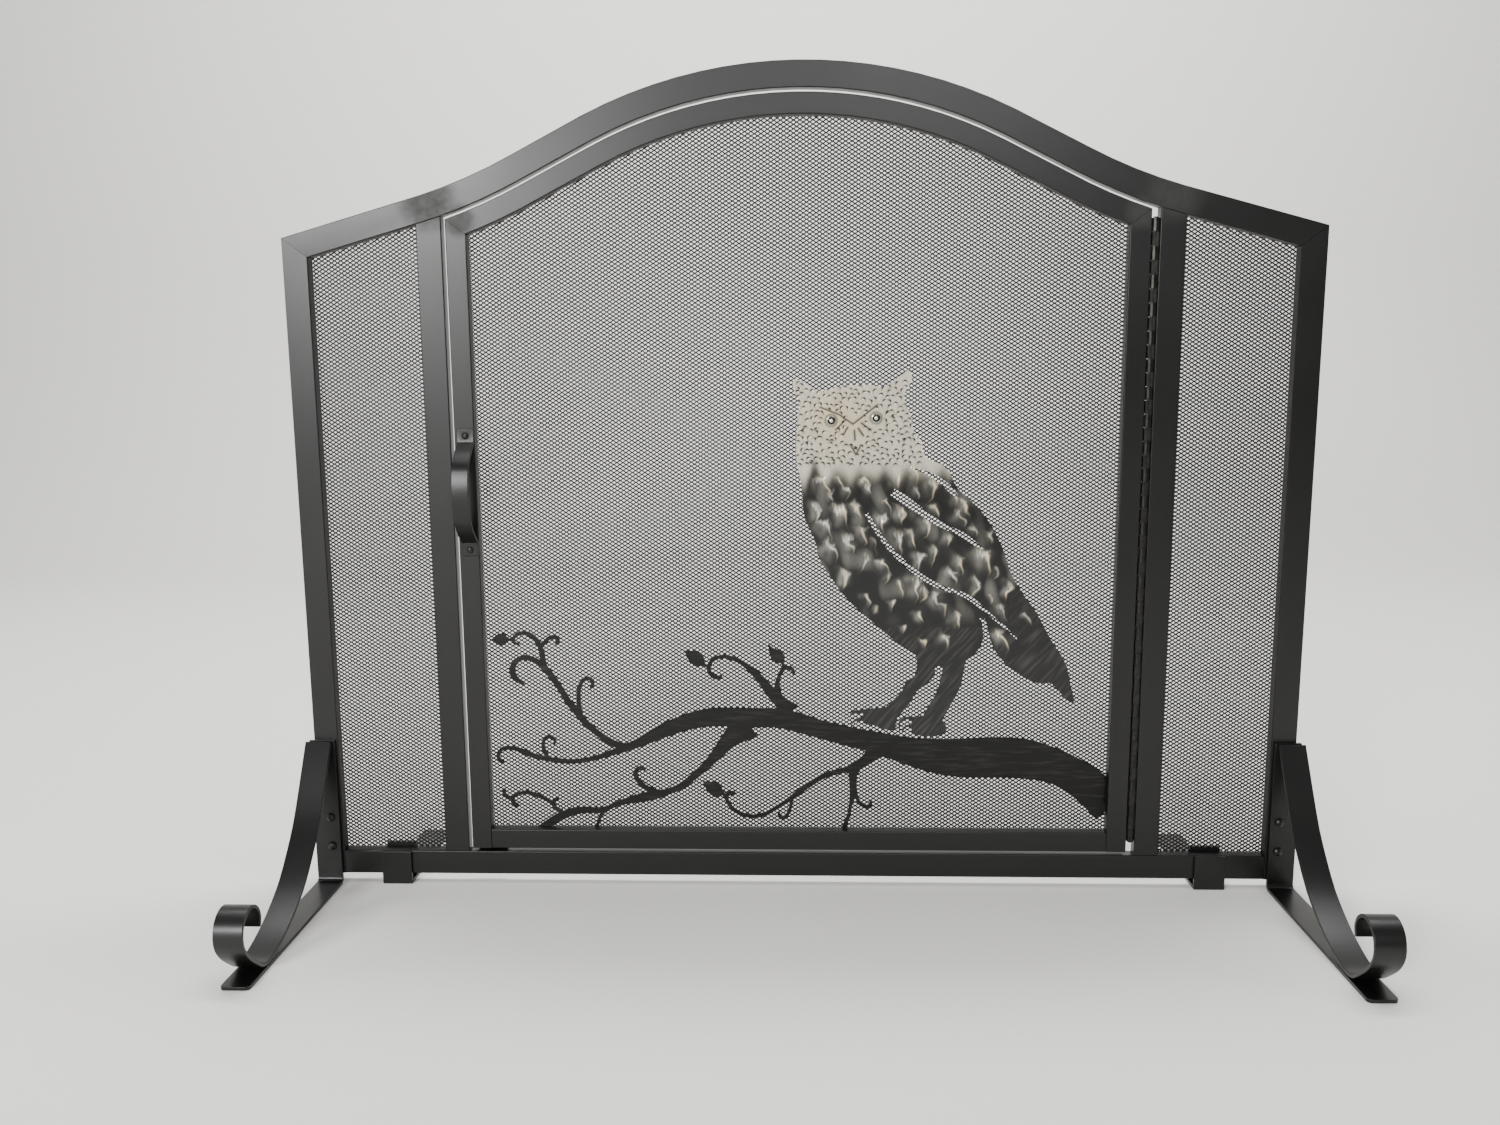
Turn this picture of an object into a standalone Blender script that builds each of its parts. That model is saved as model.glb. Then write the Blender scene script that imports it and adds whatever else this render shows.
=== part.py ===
"""Arched fireplace screen with a hinged mesh door, an owl and a branch cut from steel plate.

Metres, +Z up. The screen stands on the ground plane z = 0 and faces -Y. Every piece is drawn
in the screen's own frame, whose y = 0 is the front face of the tube frame; two empties then
place the pieces, one for the fixed frame and one on the door's hinge axis.
"""
import bpy
import bmesh
from math import cos, pi, radians, sin, sqrt, tan
from mathutils import Vector
from mathutils.geometry import delaunay_2d_cdt

# ---- driving dimensions -------------------------------------------------------------------
MM = 0.001
GAP = 0.3 * MM                      # clearance kept between pieces that touch
WIDTH = 965.2 * MM                  # 38 in over the outer posts
HEIGHT = 787.4 * MM                 # 31 in to the crown of the arch

TUBE_FACE = 24.0 * MM               # frame tube, seen from the front
TUBE_DEPTH = 12.7 * MM
TUBE_WALL = 1.5 * MM
DOOR_FACE = 19.5 * MM               # door tube, seen from the front

CROWN_RADIUS = 450.0 * MM           # outer edge of the arch, convex over the middle
FLANK_SLOPE = radians(26.9)         # steepest part of the arch
FLANK_END_X = 268.0 * MM            # where the flank starts to level out again
SWEEP_RADIUS = 480.0 * MM           # concave sweep that follows
SHOULDER_SLOPE = radians(15.6)      # straight shoulder down to the corner

RAIL_BOTTOM = 9.9 * MM              # bottom rail above the ground
RAIL_TOP = RAIL_BOTTOM + TUBE_FACE
MULLION_INNER_X = 331.0 * MM
MULLION_OUTER_X = MULLION_INNER_X + TUBE_FACE
POST_INNER_X = WIDTH / 2 - TUBE_FACE

DOOR_LATCH_X = -327.4 * MM
DOOR_HINGE_X = 323.2 * MM
DOOR_BOTTOM = 37.3 * MM
DOOR_TOP_INSET = 27.6 * MM          # door's top edge, measured in from the arch's outer edge

MESH_FRONT_Y = TUBE_DEPTH + GAP     # mesh lies on the backs of the tubes
MESH_THICKNESS = 1.0 * MM
MESH_LAP = 8.0 * MM                 # how far it laps over each tube

HINGE_AXIS_X = (DOOR_HINGE_X + MULLION_INNER_X) / 2
HINGE_AXIS_Y = 2.0 * MM
LEAF_THICKNESS = 1.2 * MM
KNUCKLE_RADIUS = 3.5 * MM
LEAF_OFFSET = 3.5 * MM              # outer surface of each leaf, sideways from the pin axis
KNUCKLE_LENGTH = 12.7 * MM          # half-inch knuckles, shared out between the two leaves
KNUCKLE_COUNT = 47
PIN_RADIUS = KNUCKLE_RADIUS - LEAF_THICKNESS - GAP
LEAF_FRONT_Y = HINGE_AXIS_Y + 4.0 * MM
LEAF_BACK_Y = TUBE_DEPTH - 0.4 * MM
HINGE_BOTTOM = 48.0 * MM

STRAP_WIDTH = 25.4 * MM             # 1 x 1/8 in flat bar of the front feet
STRAP_THICKNESS = 3.2 * MM
STRAP_CENTRE_X = 473.6 * MM
BRACKET_HEIGHT = 150.0 * MM
BRACKET_REACH = 221.0 * MM
BRACKET_BEND = 4.0 * MM
BOW_LEAN = radians(0.96)            # the bows lean outwards, so their tops stand proud
RIVET_X = 469.5 * MM
RIVET_HEIGHTS = (40.0 * MM, 70.0 * MM)
RIVET_HEAD_RADIUS = 4.5 * MM
RIVET_HEAD_HEIGHT = 3.0 * MM
RIVET_SHANK_RADIUS = 2.4 * MM
RIVET_TAIL_RADIUS = 3.6 * MM        # the end upset inside the post
RIVET_TAIL_LENGTH = 2.0 * MM

REAR_FOOT_X = 405.0 * MM
REAR_FOOT_WIDTH = 30.0 * MM
REAR_FOOT_THICKNESS = 3.0 * MM
REAR_REACH = 136.0 * MM
REAR_TAB_TOP = 38.0 * MM

HANDLE_X = -316.0 * MM
HANDLE_WIDTH = 15.9 * MM            # 5/8 x 1/8 in flat bar
HANDLE_THICKNESS = 3.2 * MM
SCREW_HEIGHTS = (341.0 * MM, 451.0 * MM)
SCREW_HEAD_RADIUS = 3.4 * MM
SCREW_HEAD_HEIGHT = 1.6 * MM
SCREW_SHANK_RADIUS = 1.7 * MM

CATCH_X = (-325.0 * MM, -295.0 * MM)
CATCH_Z = (18.0 * MM, 48.0 * MM)
CATCH_THICKNESS = 3.0 * MM

BRANCH_THICKNESS = 2.5 * MM
OWL_THICKNESS = 2.5 * MM
PLATE_BACK_Y = MESH_FRONT_Y - GAP   # both plates lie against the front of the mesh

SCROLL_REACH = 224.6 * MM           # front of the scrolls, ahead of the frame's face
FRONT_Y = (SCROLL_REACH - REAR_REACH) / 2

# ---- colours, linear RGB, roughness and metallic -------------------------------------------
BLACK_COAT = ((0.014, 0.014, 0.014), 0.42, 0.35)
BLACK_MESH = ((0.010, 0.010, 0.010), 0.55, 0.30)
BLACK_HINGE = ((0.020, 0.020, 0.020), 0.35, 0.60)
CUT_STEEL = ((0.012, 0.012, 0.011), 0.50, 0.40)
OWL_STEEL = ((0.300, 0.290, 0.250), 0.30, 0.90)
RING_STEEL = ((0.060, 0.055, 0.045), 0.25, 0.95)


# ---- scene, materials, objects -------------------------------------------------------------
def clear_scene():
    for old in list(bpy.data.objects):
        bpy.data.objects.remove(old, do_unlink=True)


def make_empty(name, location, parent=None):
    empty = bpy.data.objects.new(name, None)
    bpy.context.scene.collection.objects.link(empty)
    empty.location = location
    empty.parent = parent
    return empty


def make_material(name, finish):
    colour, roughness, metallic = finish
    material = bpy.data.materials.new(name)
    material.use_nodes = True
    shader = material.node_tree.nodes["Principled BSDF"]
    shader.inputs["Base Color"].default_value = (*colour, 1.0)
    shader.inputs["Roughness"].default_value = roughness
    shader.inputs["Metallic"].default_value = metallic
    return material


def add_piece(name, bm, finish, parent, smooth=False):
    """Turn a bmesh drawn in the screen's frame into a named object under `parent`."""
    bmesh.ops.recalc_face_normals(bm, faces=bm.faces)
    mesh = bpy.data.meshes.new(name)
    bm.to_mesh(mesh)
    bm.free()
    mesh.materials.append(make_material(name + "_finish", finish))
    if smooth:
        mesh.shade_smooth()
        mesh.set_sharp_from_angle(angle=radians(35))
    piece = bpy.data.objects.new(name, mesh)
    bpy.context.scene.collection.objects.link(piece)
    piece.parent = parent
    if parent.name == "door_axis":
        piece.location = (-HINGE_AXIS_X, -HINGE_AXIS_Y, 0)
    return piece


def cut(piece, tool_bm, name):
    """Cut a closed shape out of a piece with an exact Boolean, and keep the cutter hidden."""
    bmesh.ops.recalc_face_normals(tool_bm, faces=tool_bm.faces)
    mesh = bpy.data.meshes.new(name)
    tool_bm.to_mesh(mesh)
    tool_bm.free()
    tool = bpy.data.objects.new(name, mesh)
    bpy.context.scene.collection.objects.link(tool)
    tool.parent = piece.parent
    tool.location = piece.location
    tool.hide_render = True
    tool.display_type = "WIRE"
    boolean = piece.modifiers.new(name, "BOOLEAN")
    boolean.operation = "DIFFERENCE"
    boolean.solver = "EXACT"
    boolean.object = tool


# ---- shapes --------------------------------------------------------------------------------
def prism(outline, axis, low, high):
    """Extrude a closed outline along one axis; the outline runs in the other two axes."""
    def place(point, along):
        if axis == "x":
            return (along, point[0], point[1])
        return (point[0], along, point[1])

    bm = bmesh.new()
    base = bm.faces.new([bm.verts.new(place(point, low)) for point in outline])
    grown = bmesh.ops.extrude_face_region(bm, geom=[base])
    moved = [item for item in grown["geom"] if isinstance(item, bmesh.types.BMVert)]
    step = (high - low, 0, 0) if axis == "x" else (0, high - low, 0)
    bmesh.ops.translate(bm, verts=moved, vec=step)
    return bm


def rod(radius, start, length, axis, sides):
    """A plain cylinder that starts at `start` and runs along +Y or +Z."""
    bm = bmesh.new()
    bmesh.ops.create_cone(bm, cap_ends=True, segments=sides, radius1=radius, radius2=radius,
                          depth=length)
    bmesh.ops.translate(bm, verts=bm.verts, vec=(0, 0, length / 2))
    if axis == "y":
        for vert in bm.verts:
            vert.co = Vector((vert.co.x, vert.co.z, vert.co.y))
    bmesh.ops.translate(bm, verts=bm.verts, vec=start)
    return bm


def lathe(profile, x, y, z, sides):
    """Turn a (radius, depth) profile round the axis that runs along Y through (x, z)."""
    bm = bmesh.new()
    points = [bm.verts.new((r, depth, 0)) for r, depth in profile]
    edges = [bm.edges.new(pair) for pair in zip(points, points[1:])]
    bmesh.ops.spin(bm, geom=points + edges, cent=(0, 0, 0), axis=(0, 1, 0), angle=2 * pi,
                   steps=sides, use_merge=True)
    bmesh.ops.remove_doubles(bm, verts=bm.verts, dist=1e-6)
    bmesh.ops.translate(bm, verts=bm.verts, vec=(x, y, z))
    return bm


def dome(radius, height):
    """Profile of a round head from its rim to its crown."""
    turns = [pi / 2 * k / 4 for k in range(4)]
    return [(radius * cos(a), -height * sin(a)) for a in turns] + [(0.0, -height)]


def drill(pieces, x, z, front, back, radius):
    """Put one hole through each piece of a riveted or screwed joint."""
    for piece in pieces:
        cut(piece, rod(radius, (x, front, z), back - front, "y", 12), piece.name + "_hole")


def hollow_tube(stations):
    """Loft a square tube with open ends; a station is (outer corners, inner corners)."""
    bm = bmesh.new()
    rings = [([bm.verts.new(p) for p in outer], [bm.verts.new(p) for p in inner])
             for outer, inner in stations]
    for (outer_a, inner_a), (outer_b, inner_b) in zip(rings, rings[1:]):
        for k in range(4):
            n = (k + 1) % 4
            bm.faces.new((outer_a[k], outer_a[n], outer_b[n], outer_b[k]))
            bm.faces.new((inner_a[n], inner_a[k], inner_b[k], inner_b[n]))
    for outer, inner in (rings[0], rings[-1]):
        for k in range(4):
            n = (k + 1) % 4
            bm.faces.new((outer[n], outer[k], inner[k], inner[n]))
    return bm


def upright(x_low, x_high, bottom, top_low, top_high):
    """A vertical tube whose top is cut from (x_low, top_low) to (x_high, top_high)."""
    def ring(height_at):
        def corners(inset):
            a, b = x_low + inset, x_high - inset
            front, back = inset, TUBE_DEPTH - inset
            return [(a, front, height_at(a)), (b, front, height_at(b)),
                    (b, back, height_at(b)), (a, back, height_at(a))]
        return corners(0), corners(TUBE_WALL)

    slope = (top_high - top_low) / (x_high - x_low)
    return hollow_tube([ring(lambda x: bottom), ring(lambda x: top_low + slope * (x - x_low))])


def level_rail(x_low, x_high, bottom, top):
    """A horizontal tube along X."""
    def ring(x):
        def corners(inset):
            front, back = inset, TUBE_DEPTH - inset
            return [(x, front, bottom + inset), (x, back, bottom + inset),
                    (x, back, top - inset), (x, front, top - inset)]
        return corners(0), corners(TUBE_WALL)

    return hollow_tube([ring(x_low), ring(x_high)])


# ---- the arch ------------------------------------------------------------------------------
CROWN_END_X = CROWN_RADIUS * sin(FLANK_SLOPE)
CROWN_END_Z = HEIGHT - CROWN_RADIUS * (1 - cos(FLANK_SLOPE))
FLANK_END_Z = CROWN_END_Z - (FLANK_END_X - CROWN_END_X) * tan(FLANK_SLOPE)
SWEEP_CENTRE_X = FLANK_END_X + SWEEP_RADIUS * sin(FLANK_SLOPE)
SWEEP_CENTRE_Z = FLANK_END_Z + SWEEP_RADIUS * cos(FLANK_SLOPE)


def arch_height(x, inset):
    """Height at x of the arch's outer edge moved `inset` towards the inside."""
    x = abs(x)
    crown = CROWN_RADIUS - inset
    crown_end = crown * sin(FLANK_SLOPE)
    crown_z = HEIGHT - CROWN_RADIUS
    sweep = SWEEP_RADIUS + inset
    sweep_start = SWEEP_CENTRE_X - sweep * sin(FLANK_SLOPE)
    sweep_end = SWEEP_CENTRE_X - sweep * sin(SHOULDER_SLOPE)
    if x <= crown_end:
        return crown_z + sqrt(crown ** 2 - x ** 2)
    if x <= sweep_start:
        return crown_z + crown * cos(FLANK_SLOPE) - (x - crown_end) * tan(FLANK_SLOPE)
    if x <= sweep_end:
        return SWEEP_CENTRE_Z - sqrt(sweep ** 2 - (SWEEP_CENTRE_X - x) ** 2)
    end_z = SWEEP_CENTRE_Z - sweep * cos(SHOULDER_SLOPE)
    return end_z - (x - sweep_end) * tan(SHOULDER_SLOPE)


def arched_rail(x_low, x_high, inset, face, segments):
    """A tube bent to the arch, `inset` inside its edge, with mitred ends at x_low and x_high."""
    def ring(t):
        def corners(wall):
            points = []
            for depth in (wall, face - wall):
                left, right = x_low + depth, x_high - depth
                x = left + (right - left) * t
                points.append((x, arch_height(x, inset + depth)))
            (top_x, top_z), (low_x, low_z) = points
            front, back = wall, TUBE_DEPTH - wall
            return [(top_x, front, top_z), (low_x, front, low_z),
                    (low_x, back, low_z), (top_x, back, top_z)]
        return corners(0), corners(TUBE_WALL)

    return hollow_tube([ring(k / segments) for k in range(segments + 1)])


def arch_topped_outline(x_low, x_high, bottom, inset, segments):
    """Outline of a sheet with a flat bottom whose top follows the arch."""
    top = [x_high + (x_low - x_high) * k / segments for k in range(segments + 1)]
    return [(x_low, bottom), (x_high, bottom)] + [(x, arch_height(x, inset)) for x in top]


# ---- flat bar bent on edge -----------------------------------------------------------------
def smooth_path(points, steps):
    """Points along a Catmull-Rom curve through `points`."""
    ends = [2 * Vector(points[0]) - Vector(points[1]), *map(Vector, points),
            2 * Vector(points[-1]) - Vector(points[-2])]
    path = []
    for a, b, c, d in zip(ends, ends[1:], ends[2:], ends[3:]):
        for k in range(steps):
            t = k / steps
            path.append(0.5 * (2 * b + (c - a) * t + (2 * a - 5 * b + 4 * c - d) * t ** 2
                               + (3 * b - 3 * c + d - a) * t ** 3))
    path.append(Vector(points[-1]))
    return path


def ribbon(path, widths):
    """Closed outline of a band that follows `path` with the given width at each point."""
    left, right = [], []
    for k, point in enumerate(path):
        before = path[max(k - 1, 0)]
        after = path[min(k + 1, len(path) - 1)]
        along = (after - before).normalized()
        across = Vector((-along.y, along.x)) * widths[k] / 2
        left.append(point + across)
        right.append(point - across)
    return [tuple(p) for p in left + right[::-1]]


# ---- plates cut from a drawing, millimetres in (x, z) ---------------------------------------
def cut_plate(shapes, holes, front_y, back_y):
    """Unite overlapping outlines in the plane, take the holes out, and give them thickness."""
    points, faces = [], []
    for outline in shapes + holes:
        start = len(points)
        points += [Vector(p) for p in outline]
        loop = list(range(start, start + len(outline)))
        faces.append(loop if turn_direction(outline) > 0 else loop[::-1])
    flat = delaunay_2d_cdt(points, [], faces, 1, 1e-4)
    verts, triangles, sources = flat[0], flat[2], flat[5]
    bm = bmesh.new()
    placed = [bm.verts.new((v.x * MM, front_y, v.y * MM)) for v in verts]
    for triangle, source in zip(triangles, sources):
        if not any(index >= len(shapes) for index in source):
            bm.faces.new([placed[i] for i in triangle])
    loose = [v for v in bm.verts if not v.link_faces]
    bmesh.ops.delete(bm, geom=loose, context="VERTS")
    grown = bmesh.ops.extrude_face_region(bm, geom=list(bm.faces))
    moved = [item for item in grown["geom"] if isinstance(item, bmesh.types.BMVert)]
    bmesh.ops.translate(bm, verts=moved, vec=(0, back_y - front_y, 0))
    return bm


def turn_direction(outline):
    """Twice the signed area: positive when the outline runs anticlockwise."""
    return sum(a[0] * b[1] - b[0] * a[1] for a, b in zip(outline, outline[1:] + outline[:1]))


def stroke(points, steps=2):
    """Outline of a tapering band through (x, z, width) points."""
    path = smooth_path(points, steps)
    return ribbon([p.xy for p in path], [p.z for p in path])


def clipped(outline, low_z, high_x):
    """The part of an outline that lies above low_z and to the left of high_x."""
    for inside, meet in ((lambda p: p[1] >= low_z, lambda a, b: (low_z - a[1]) / (b[1] - a[1])),
                         (lambda p: p[0] <= high_x, lambda a, b: (high_x - a[0]) / (b[0] - a[0]))):
        kept = []
        for a, b in zip(outline, outline[1:] + outline[:1]):
            if inside(a):
                kept.append(a)
            if inside(a) != inside(b):
                t = meet(a, b)
                kept.append((a[0] + t * (b[0] - a[0]), a[1] + t * (b[1] - a[1])))
        outline = kept
    return outline


# The limb runs from the door's hinge stile towards the latch side, a twig with a wide body.
BRANCH_FLOOR = 57.2
BRANCH_END_X = 303.6
TWIGS = [
    # the limb, and the vine that carries on from its tip to a curl
    [(310, 82, 42), (303.6, 87.5, 40), (290, 99, 37), (280, 106.5, 36), (260, 118.5, 35),
     (240, 125.4, 37.5), (220, 129.3, 41), (200, 130.2, 41), (180, 130, 40.8),
     (160, 129.6, 39), (140, 130.8, 36), (120, 134.2, 31), (100, 138.8, 26),
     (80, 144.5, 22), (60, 148.9, 20.3), (40, 153.9, 19.4), (20, 159.2, 18.5),
     (0, 165.5, 20), (-20, 169.8, 19.2), (-40, 170, 19.5), (-60, 170.7, 19.4),
     (-80, 170.9, 19.2), (-100, 168.4, 17.6), (-120, 162.2, 15.6), (-140, 153.7, 13.5),
     (-160, 143.5, 9), (-172, 138.8, 8), (-185, 134, 6), (-200, 129, 5),
     (-215, 125.5, 4.5), (-230, 124.4, 4.8), (-245, 126, 4.8), (-262, 129.3, 5),
     (-272, 133.2, 4.8), (-281, 137, 4.2), (-290, 138.4, 4), (-297, 137, 4),
     (-300.8, 131, 3.5), (-299.5, 125, 3), (-296, 122.5, 2.5)],
    [(-250, 126, 5), (-253, 133, 4), (-255, 140, 3.6), (-254, 146, 3.6),
     (-249.5, 150.3, 3.4), (-244.5, 148.8, 3.2), (-243, 144.5, 2.8), (-244.5, 141.5, 2)],
    # the shoot that climbs to the left, with its loops and curls
    [(-170, 139.5, 7.5), (-181, 142, 6.5), (-190, 146.8, 6.5), (-200, 154, 6),
     (-209, 161.8, 6.5), (-216.5, 171, 7), (-222, 178.5, 7), (-228.5, 186.5, 6.5),
     (-234, 196.5, 6), (-239.5, 205.5, 6), (-245, 213.5, 6.5), (-250.5, 220, 6.5),
     (-257, 226, 5.5), (-264, 230, 5.5), (-272, 231, 5.3), (-279, 227.5, 5.8),
     (-282.8, 220.5, 6.2), (-282, 212.5, 6), (-277.5, 207.5, 5), (-271.5, 205, 3)],
    [(-250.5, 220, 6), (-252, 228, 5.5), (-253, 236, 5), (-255, 243.5, 5),
     (-259.5, 250.5, 4.8), (-265.5, 255, 4.2), (-271.5, 256.3, 3.8), (-277.5, 254, 3.8),
     (-281.3, 249.5, 3.6), (-279.5, 245.6, 3), (-275, 244.7, 2.4)],
    [(-253.5, 243, 5), (-249.5, 247, 4.2), (-244.5, 251.5, 4), (-239, 251.8, 4),
     (-236.8, 248, 4.4), (-238.5, 244, 3)],
    [(-217, 171, 6), (-217.5, 181, 4.5), (-217.6, 191, 4), (-217, 201, 4.2),
     (-213, 207.5, 4), (-207.5, 210.3, 3.6), (-203.3, 207.2, 3.6), (-203.5, 203, 3.4),
     (-205.5, 199.8, 2.6)],
    [(-280.5, 249.4, 2.8), (-288, 249.2, 3)],
    # the lower limb and the twigs along the door's bottom rail
    [(-48, 163, 30), (-61, 154, 22), (-69, 146.5, 17), (-76.5, 138, 13.5),
     (-84, 129, 10.5), (-92, 120.5, 8.5), (-100, 113, 7.8), (-110, 104.5, 6.8),
     (-120, 97.8, 6.2), (-130, 93.3, 6.4), (-141, 90.3, 8.6), (-152, 88, 9.6),
     (-161, 86, 8.8), (-170, 84, 6.6), (-180, 81, 5.5), (-188, 77.5, 4.5),
     (-194, 73, 4), (-199, 68, 3.6), (-204, 53, 3.4)],
    [(-141, 92, 7), (-150, 96, 5), (-157, 101, 4.8), (-162, 108, 4.6),
     (-163, 113.5, 4.4), (-160, 117.4, 4), (-155.5, 118, 3.4), (-152, 116.5, 2.2)],
    [(-190, 76.5, 5), (-200, 73, 5.5), (-210, 73.8, 6.5), (-220, 73.3, 6.8),
     (-230, 71, 8), (-238, 67.5, 8.5), (-246, 63.5, 8), (-262, 53.5, 6)],
    [(-238, 71.5, 5), (-244, 75, 4), (-247.5, 80, 3.6), (-254, 84.7, 3.6),
     (-262, 88.5, 3.8), (-270, 91.3, 4), (-277, 91.6, 3.8), (-284, 89, 3.6),
     (-288.5, 86.5, 3.4), (-293, 87.5, 3.2), (-296.3, 91, 3.6), (-295.8, 96, 3)],
    [(-287, 87, 3.4), (-288, 82, 3.6), (-284, 78.5, 3.8), (-281.5, 78, 2.5)],
    [(-249, 81, 3), (-245, 83, 3), (-240.5, 86.3, 2.6)],
    # the shoot above the limb, with two leaves
    [(-8, 176, 22), (-15, 184, 14), (-21.5, 191, 12), (-28, 198, 10.5),
     (-34, 206, 8.5), (-40.5, 213.5, 7.5), (-47.5, 220, 5.5), (-55, 225.8, 4.2),
     (-63, 230, 4), (-72, 232.2, 3.8), (-80, 231, 3.8), (-85.5, 227, 3.8),
     (-87.8, 221, 4), (-86.5, 215.3, 4), (-82, 211.2, 4), (-77, 211.5, 4),
     (-75.5, 213.5, 2.5)],
    [(-20.5, 198, 8), (-20, 206, 4.5), (-18, 213.5, 4), (-14, 220, 4.2),
     (-9, 221.2, 3.8), (-5, 219, 3.8), (-4, 214, 3)],
    [(-94, 225.4, 3), (-90, 223, 2.6), (-86.5, 221, 3)],
    [(-15, 228, 3), (-14.2, 223, 3), (-13.2, 219, 3)],
    # the vine that hangs from the limb, with a leaf, curls and a forked stem
    [(78, 137, 18), (70, 129.5, 12), (62, 123.5, 9.5), (54, 119, 7.5), (44, 116, 5.5),
     (33, 113.2, 5.2), (24, 109.5, 5), (16, 104.5, 5), (8, 98.8, 4.8), (0, 93, 4.6),
     (-8, 86.5, 4.6), (-16, 80.7, 4), (-24, 75.6, 3.8), (-33, 70.5, 3.8),
     (-45, 67.8, 3.6), (-56, 70, 3.6), (-64, 74.7, 3.6), (-69.3, 80.5, 3.6),
     (-72, 87, 3.6), (-76, 93, 3)],
    [(-72.5, 89, 3.4), (-69, 91.5, 4), (-65, 92.5, 4), (-62.8, 91.2, 2)],
    [(-7, 87, 4), (-7.2, 79.5, 3.4), (-9.3, 72.5, 3.2), (-13.5, 67.2, 3.2),
     (-17.5, 66.3, 3.2), (-19.3, 70, 3), (-19, 73, 2)],
    [(56, 120, 14), (54.5, 110, 8), (54.5, 100, 7), (54.5, 91, 6.5), (52.5, 81, 3.6),
     (51.3, 72, 3.4), (48.5, 64, 4), (44.5, 53, 4.4)],
    [(56.5, 97, 5), (58.5, 88, 3.6), (62, 82, 3.6), (67, 78.6, 4), (71.5, 79.5, 4.5),
     (73, 84, 2.6)],
]
LEAVES = [
    [(-302.5, 250), (-297, 254.6), (-292, 256), (-288, 253.4), (-286, 249),
     (-288.4, 244.8), (-292.6, 242.6), (-298, 244.6)],
    [(-112, 238.5), (-105, 238), (-99, 238.4), (-94, 235), (-91.5, 229), (-92, 224.7),
     (-96, 222.4), (-102, 222.7), (-107, 227.6), (-110, 233.9)],
    [(-29, 245.5), (-25, 241.2), (-20, 239.2), (-15, 236.5), (-12.5, 232.7),
     (-13, 227.6), (-15, 225), (-16.5, 225.8), (-22, 225.5), (-26, 228.8),
     (-28, 236.2)],
    [(-95.5, 104.6), (-88, 103.5), (-84, 105), (-79, 103.2), (-76, 97.3), (-75, 92),
     (-80, 88.8), (-84, 87.6), (-89, 92), (-93, 98)],
]

OWL_OUTLINE = [
    # crown and ears
    (-3.5, 502), (3, 500.5), (9, 497.5), (14, 493.5), (18, 490.8), (24, 490.5),
    (30, 492), (38, 494), (48, 495.5), (58, 496), (68, 496), (76, 494.5), (82, 494),
    (88, 497), (94, 501.5), (100, 506), (104.5, 510), (107.5, 507), (108, 500),
    (105, 494), (102, 489), (101, 483), (103, 475.5), (106.5, 470), (108.5, 463),
    (109.5, 457), (111, 451), (115, 447), (118.5, 441), (119, 434), (122, 427.5),
    # back and folded wing, down to the tip of the tail
    (128, 423.5), (137, 420.5), (143, 415.5), (147, 409), (151, 400), (155, 395),
    (161, 390), (166, 385), (172, 380), (180, 370), (187, 360), (192, 350),
    (197, 340), (200.5, 330), (203.5, 320), (208, 310), (214.5, 300), (221, 290),
    (229, 280), (234.5, 270), (240, 260), (245.5, 250), (252, 240), (257, 233),
    (261, 225), (264, 215), (266, 205), (268.5, 196), (270.5, 189), (269.5, 186.5),
    (266.5, 187), (261, 191), (255.5, 197), (251.5, 201.5), (247, 206), (243, 206.5),
    (236, 205.5), (230, 207), (222, 210.5), (211, 218), (203, 225), (196, 232),
    (190.5, 240.5), (187, 250), (185, 258), (183.5, 265), (181.5, 270), (178.5, 271.5),
    (176.5, 270.5),
    # thigh and right leg
    (179, 265.5), (180, 258), (180.5, 251), (178.5, 244), (175, 238), (170, 232.5),
    (165, 229.5), (163, 225), (162, 216), (160.5, 207), (158, 199), (153, 189),
    (148.5, 181), (144.5, 173), (142.5, 168), (145, 164), (147, 160), (145.5, 156),
    (141, 153.3), (135, 152), (124, 152), (112, 154), (112, 171.5), (118, 171.5),
    (123.5, 173), (126, 178), (129, 184), (133, 190), (135.5, 196), (138, 203),
    (139.8, 210), (141, 216), (141.5, 221.5), (139, 224), (136, 223.8), (134.3, 221),
    (134.5, 216),
    # left leg
    (132.5, 211.5), (128, 207), (123, 202.5), (117, 197.5), (113.5, 192),
    (110.5, 186), (106.5, 180.5), (102.5, 176), (98.5, 172), (97, 167), (96, 162),
    (97.5, 158), (92, 158), (84, 159), (79, 161), (73, 163.5), (65, 164.5), (64, 179),
    (75, 180), (87, 181.5), (91, 185), (95, 190), (100, 194.5), (103.5, 200),
    (105, 205), (109, 209.5), (114, 212.5), (116.3, 218), (116.7, 226), (115.5, 233),
    # breast, throat and side of the face
    (112, 237.5), (106, 241), (97, 246.5), (90, 252), (82, 258.5), (75, 265),
    (68, 271), (61, 277), (54, 283.5), (48, 290), (43, 295.5), (38, 302.5), (33, 310),
    (28.5, 317), (24, 323.5), (20.5, 331), (18.5, 341), (15.5, 350.5), (11, 360),
    (7, 368.5), (5.3, 378), (5, 390), (4, 400), (2, 411), (0, 420), (-1.3, 430),
    (-1.2, 442), (-0.5, 452), (0, 462), (1, 471), (1.5, 478), (0, 484), (-3, 491),
    (-4.3, 497),
]
OWL_CLAWS = [
    [(68, 176.5, 4), (57, 176.5, 3), (52.5, 173.5, 2), (50.3, 170.5, 0.6)],
    [(68, 170, 4), (58, 168.5, 2.6), (54.5, 166, 1.6), (53, 163.5, 0.6)],
    [(116, 170, 3), (105, 170, 2.6), (100.8, 167, 2.2), (99.9, 161, 1.6),
     (100.4, 156, 0.6)],
    [(116, 163.5, 3), (107, 162, 2.2), (103.8, 158.5, 1.6), (102.6, 154.5, 0.6)],
]
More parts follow.
